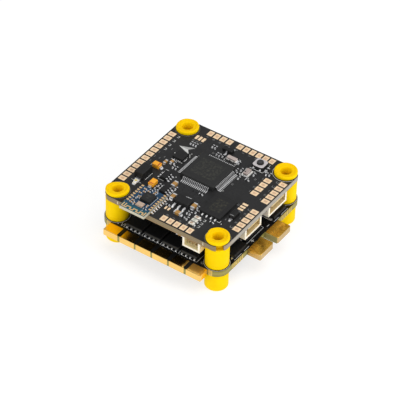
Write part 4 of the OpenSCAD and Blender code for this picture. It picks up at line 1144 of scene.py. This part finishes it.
# rings round the mounting holes, as far as the board reaches
for sx in (-1, 1):
    for sy in (-1, 1):
        out = math.degrees(math.atan2(sy, sx))
        near = sx > 0 and sy < 0
        r = 3.4 if near else 3.27
        cut = 45 + math.degrees(math.acos((FCH - HALF - 0.05) / (r + 0.05)))
        (w_ if near else g_).ring(sx * HALF, sy * HALF, r, 0.1 if near else 0.07, Z0, Z1, out + cut, out + 360 - cut, n=120)
# plain ticks beside the pads


def tick(b, x, y, kind, a=0):
    """Generic printed ticks: a bar, a pair, or an open bracket."""
    ca, sa = math.cos(math.radians(a)), math.sin(math.radians(a))

    def p(u, q):
        return (x + ca * u - sa * q, y + sa * u + ca * q)
    if kind == 0:
        b.stroke([p(-0.3, 0), p(0.3, 0)], 0.13, Z0, Z1)
    elif kind == 1:
        b.stroke([p(-0.32, 0.16), p(0.32, 0.16)], 0.11, Z0, Z1)
        b.stroke([p(-0.32, -0.16), p(0.32, -0.16)], 0.11, Z0, Z1)
    else:
        b.stroke([p(0.28, 0.3), p(-0.28, 0.3), p(-0.28, -0.3), p(0.28, -0.3)], 0.12, Z0, Z1)


for i in range(12):
    x = -10.7 + i * 1.965
    if x < -8.6 and x > -12:
        continue
    if x > 4:
        tick(w_, x, 15.05, 2, 90)
    elif x > -4.2:
        tick(g_, x, 15.5, 0)
for x in [-9.8 + i * 1.965 for i in range(5)] + [3.05 + i * 1.965 for i in range(5)]:
    tick(g_, x, -15.6, rnd.choice((0, 1, 2)))
for i in range(4):
    tick(g_, 4.05 + i * 1.965, -11.75, rnd.choice((0, 1)))
for i in range(5):
    tick(g_, -15.55, -0.3 - i * 1.965, rnd.choice((0, 1)), 90)
for y in [9.05 - i * 1.965 for i in range(4)] + [-0.1 - i * 1.965 for i in range(6)]:
    tick(g_, 15.35, y, rnd.choice((0, 1)), 90)
for x in (-14.6, -13.3, -11.9):
    tick(w_, x, -9.0, 2, 90)
for x, y, k, a in ((3.6, -6.75, 1, 0), (1.2, 14.1, 0, 0), (2.3, 13.3, 0, 0), (12.2, 11.2, 1, 90), (12.2, 10.1, 1, 90), (12.2, 9.05, 1, 90), (-2.0, -12.35, 1, 0),
                   (-12.4, 1.2, 0, 90), (-11.4, -6.9, 0, 0), (8.6, -10.4, 1, 0), (12.9, -13.3, 0, 0), (6.0, 13.6, 0, 0), (10.9, 4.1, 1, 0), (-8.4, -12.9, 0, 0)):
    tick(g_, x, y, k, a)
w_.make()
g_.make()

u_ = Build("fc_print_below", ["grey_silk"], "solder_mask")
u_.at("ufc")
for x0, y0, x1, y1 in ((-7.8, 1.3, 2.8, 8.7), (-11.3, -10.2, -5.9, -5.0), (-3.3, -10.2, 2.1, -5.0), (6.6, -7.0, 10.2, -2.4), (6.6, -12.6, 10.2, -7.9)):
    u_.stroke([(x0 + 0.8, y0), (x0, y0), (x0, y1), (x0 + 0.8, y1)], 0.12, Z0, Z1)
    u_.stroke([(x1 - 0.8, y0), (x1, y0), (x1, y1), (x1 - 0.8, y1)], 0.12, Z0, Z1)
for sx in (-1, 1):
    for sy in (-1, 1):
        out = math.degrees(math.atan2(sy, sx))
        u_.ring(sx * HALF, sy * HALF, 3.11, 0.07, Z0, Z1, out + 22, out + 338)
u_.make()

e_ = Build("esc_print", ["white_silk"], "esc_solder_mask")
f_ = Build("esc_print_faint", ["mid_silk"], "esc_solder_mask")
for side in ("esc", "uesc"):
    e_.at(side)
    f_.at(side)
    for sx in (-1, 1):
        for y in (-11.2, -5.6, 0.0, 5.6, 11.2):
            e_.stroke([(sx * 18.25, y), (sx * 16.1, y)], 0.13, Z0, Z1)
            f_.stroke([(sx * 16.1, y), (sx * 11.9, y)], 0.12, Z0, Z1)
        e_.stroke([(sx * 16.9, 12.35), (sx * 18.3, 11.95), (sx * 17.0, 11.45)], 0.13, Z0, Z1)
        e_.lathe([(0.0, Z0), (0.15, Z0), (0.15, Z1), (0.0, Z1)], sx * 18.0, 13.1, 14)
        f_.ring(sx * 17.6, -12.5, 0.35, 0.12, Z0, Z1, 20, 320, n=30)
        for sy in (-1, 1):
            e_.ring(sx * HALF, sy * HALF, 3.27, 0.1, Z0, Z1)
    for sx in (-1, 1):
        e_.stroke([(sx * 5.7, -18.36), (sx * 7.9, -18.36)], 0.12, Z0, Z1)
        e_.stroke([(sx * 8.9, -18.36), (sx * 12.1, -18.36)], 0.12, Z0, Z1)
        f_.stroke([(sx * 5.7, 18.36), (sx * 11.9, 18.36)], 0.1, Z0, Z1)
        for y in (-1, 1):
            f_.ring(sx * 4.3, y * 6.5, 0.12, 0.12, Z0, Z1, n=14)
    for x, sgn in ((3.6, -1), (-3.5, 1)):
        e_.stroke([(x - 0.5, -17.95), (x + 0.5, -17.95)], 0.15, Z0, Z1)
        if sgn > 0:
            e_.stroke([(x, -18.42), (x, -17.48)], 0.15, Z0, Z1 + 0.001)
e_.at("esc")
e_.stroke([(-5.5, -11.0), (-5.5, -17.4), (2.3, -17.4), (2.3, -11.0), (-5.35, -11.0)], 0.13, Z0, Z1)
e_.stroke([(5.9, -15.2), (5.9, -17.2)], 0.12, Z0, Z1)
e_.make()
f_.make()

# ------------------------------------------------------------------ small part details

b = Build("tantalum_bands", ["tantalum_band"], "tantalum_case")
b.at("fc")
b.box(-2.66, -1.24, 11.72, 12.1, 0.35, 1.158)
b.box(-9.22, -8.84, 8.69, 10.11, 0.35, 1.158)
b.make()

# barometer vent: a dark plug painted as the shade in its hole, in place of an open hole
b = Build("sensor_vent", ["hole_shade"], "sensor_can")
b.at("fc", 9.3, -7.45)
b.lathe([(0.0, 0.58), (0.166, 0.58), (0.166, 0.949), (0.2, 0.949), (0.2, 0.954), (0.0, 0.954)], -0.49, 0.29, 20)
b.make()

b = Build("led_windows", ["phosphor", "led_window", "led_window_grey"], "led_case", smooth=40)
b.at("fc")
b.prism(rounded(-10.32, -9.68, 13.4 - 0.34, 13.4 + 0.34, 0.1), 0.55, 0.635, 0, 0.03)
for x in (-14.88, -13.63, -12.38):
    b.prism(rounded(x - 0.3, x + 0.3, -7.55, -6.72, 0.05), 0.66, 0.69, 2 if x == -13.63 else 1, 0.01)
b.make()

# bands on the parts: diode cathode bands
b = Build("part_marks", ["grey_silk"], "chip_epoxy")
b.at("fc")
b.box(-7.25, -7.05, -14.55, -13.35, 1.0, 1.105)
b.at("esc")
b.box(-4.55, -4.15, -16.9, -11.7, 2.0, 2.103)
b.make()

# radio module: traces, printed outline and its own small parts
b = Build("module_traces", ["navy_trace"], "module_mask")
b.at("bt")
CAST = [-17.25 + i * 0.91 for i in range(8)]
for x, y, dx, dy, l in [(CAST[i], 4.25, 0, 1, 0.3 + 0.14 * (i % 3)) for i in range(8)] + [(CAST[i], 10.15, 0, -1, 0.3 + 0.14 * ((i + 2) % 3)) for i in range(8)]:
    sg = 1 if x < -14.3 else -1
    b.stroke([(x, y), (x, y + dy * l), (x + sg * 0.35, y + dy * (l + 0.35)), (x + sg * 0.6, y + dy * (l + 0.35))], 0.13, 0, 0.012)
for pts in ([(-18.3, 4.0), (-18.3, 10.6)], [(-18.3, 8.3), (-16.4, 8.3)], [(-12.5, 5.4), (-12.0, 5.4), (-11.4, 6.0), (-11.4, 8.2)],
            [(-12.5, 7.2), (-12.0, 7.2), (-12.0, 9.0)], [(-14.2, 8.3), (-14.2, 9.2), (-13.0, 9.2)], [(-15.4, 8.3), (-15.4, 8.9), (-16.2, 8.9)]):
    b.stroke(pts, 0.2, 0, 0.012)
b.make()
b = Build("module_print", ["white_silk"], "module_mask")
b.at("bt")
for pts in ([(-16.2, 4.72), (-12.5, 4.72), (-12.5, 8.2)], [(-16.2, 8.2), (-16.2, 7.95)], [(-18.75, 5.5), (-18.75, 5.2), (-18.4, 5.2)]):
    b.stroke(pts, 0.09, 0, 0.018)
b.make()
MODP = [(-17.7, 9.4, 90), (-16.9, 9.25, 90), (-15.9, 9.5, 90), (-15.0, 9.0, 0), (-13.6, 9.4, 90), (-12.7, 8.8, 90), (-11.7, 9.2, 90), (-11.2, 7.7, 90),
        (-11.2, 6.2, 90), (-11.9, 6.3, 90), (-17.7, 8.4, 0), (-16.7, 5.0, 0), (-18.0, 4.9, 90), (-12.0, 7.9, 90), (-14.9, 8.4, 0)]
b = Build("module_parts", ["ceramic", "solder", "resistor"], "capacitor_ceramic", smooth=40)
for k, (x, y, a) in enumerate(MODP):
    b.at("bt", x, y, a)
    b.block(0, 0, 0.42, 0.36, 0.02, 0.3, 2 if k % 5 == 2 else 0, 0.02)
    for sg in (-1, 1):
        b.block(sg * 0.3, 0, 0.2, 0.38, 0.0, 0.32, 1, 0.03)
        b.fillet(sg * 0.4, 0, 0 if sg > 0 else 180, 0.12, 0.34, 0.2, 0.0, 1)
b.make()

# break-off marks on the cut edge of the upper board
b = Build("break_marks", ["fibre"], "solder_mask")
for x, y, w, d in ((-FCH - 0.01, -13.0, 0.03, 0.3), (-FCH - 0.01, 12.9, 0.03, 0.3), (FCH + 0.01, -12.9, 0.03, 0.3), (12.4, -FCH - 0.01, 0.3, 0.03)):
    b.block(x, y, w, d, FC0 + 0.3, FC1 - 0.3)
b.make()

# spring contacts seen in the mouth of each connector
b = Build("contact_faces", ["contact"], "tinned_lead")
for side, x, y, a, n in (("ufc", -FCH, -9.5, -90, 3), ("ufc", -4.1, -FCH, 0, 5), ("ufc", 6.9, -FCH, 0, 6), ("ufc", 0, FCH, 180, 8), ("esc", 0, ESCH, 180, 8)):
    for i in range(n):
        b.at(side, x, y, a)
        cx = i - (n - 1) / 2
        b.box(cx - 0.19, cx + 0.19, 0.5, 3.0, 1.12, 1.6)
b.make()
b = Build("port_contacts", ["antenna"], "port_steel")
b.at()
for i in range(10):
    y = 3.5 + (i - 4.5) * 0.55
    for sg in (-1, 1):
        z = FC0 - 1.62 + sg * 0.35
        b.box(FCH - 2.6, FCH - 0.1, y - 0.13, y + 0.13, *sorted((z, z + sg * 0.03)))
b.make()


# ------------------------------------------------------------------ studio

def area(name, loc, target, size, power, colour=(1, 1, 1)):
    d = bpy.data.lights.new(name, "AREA")
    d.shape = "RECTANGLE"
    d.size, d.size_y = size
    d.energy = power
    d.color = colour
    o = bpy.data.objects.new(name, d)
    o.location = Vector(loc)
    o.rotation_mode = "QUATERNION"
    o.rotation_quaternion = (Vector(target) - Vector(loc)).to_track_quat("-Z", "Y")
    bpy.context.scene.collection.objects.link(o)
    return o


bpy.ops.mesh.primitive_plane_add(size=6.0, location=(0, 0, -0.00002))
floor = bpy.context.active_object
floor.name = "studio_floor"
fm = Mat("studio_floor", spec=0.1)
fm.colour(fm.ramp(fm.noise(40, 2.0), [(0.3, (0.36, 0.36, 0.36)), (0.7, (0.38, 0.38, 0.38))]))
socket(fm.b, "Roughness", 0.9)
socket(fm.b, "Emission Color", (1.0, 1.0, 1.0, 1.0))
socket(fm.b, "Emission Strength", 0.68)
floor.data.materials.append(fm.m)

world = bpy.data.worlds.new("studio")
bpy.context.scene.world = world
world.use_nodes = True
bg = world.node_tree.nodes["Background"]
bg.inputs["Color"].default_value = (1.0, 1.0, 1.0, 1.0)
bg.inputs["Strength"].default_value = 0.52
area("top", (0.0, -0.10, 0.50), (0, 0, 0.01), (0.34, 0.34), 0.80)
area("key", (0.12, -0.42, 0.26), (0, 0, 0.01), (0.26, 0.22), 0.95)
area("fill", (-0.42, 0.02, 0.22), (0, 0, 0.01), (0.26, 0.20), 0.60)
bpy.context.scene.view_settings.view_transform = "Standard"
bpy.context.scene.view_settings.look = "None"

cam_data = bpy.data.cameras.new("camera")
cam_data.lens = 191.5
cam_data.sensor_width = 36.0
cam_data.clip_start = 0.02
cam_data.clip_end = 20.0
cam = bpy.data.objects.new("camera", cam_data)
R, U, B = Vector((0.57127, -0.82053, 0.01986)), Vector((0.53057, 0.38764, 0.75382)), Vector((-0.62622, -0.42010, 0.65679))
m3 = Matrix((R, U, B)).transposed()
cam.rotation_mode = "QUATERNION"
cam.rotation_quaternion = m3.to_quaternion()
cam.location = Vector((-338.86, -226.80, 364.17)) * MM
bpy.context.scene.collection.objects.link(cam)
bpy.context.scene.camera = cam
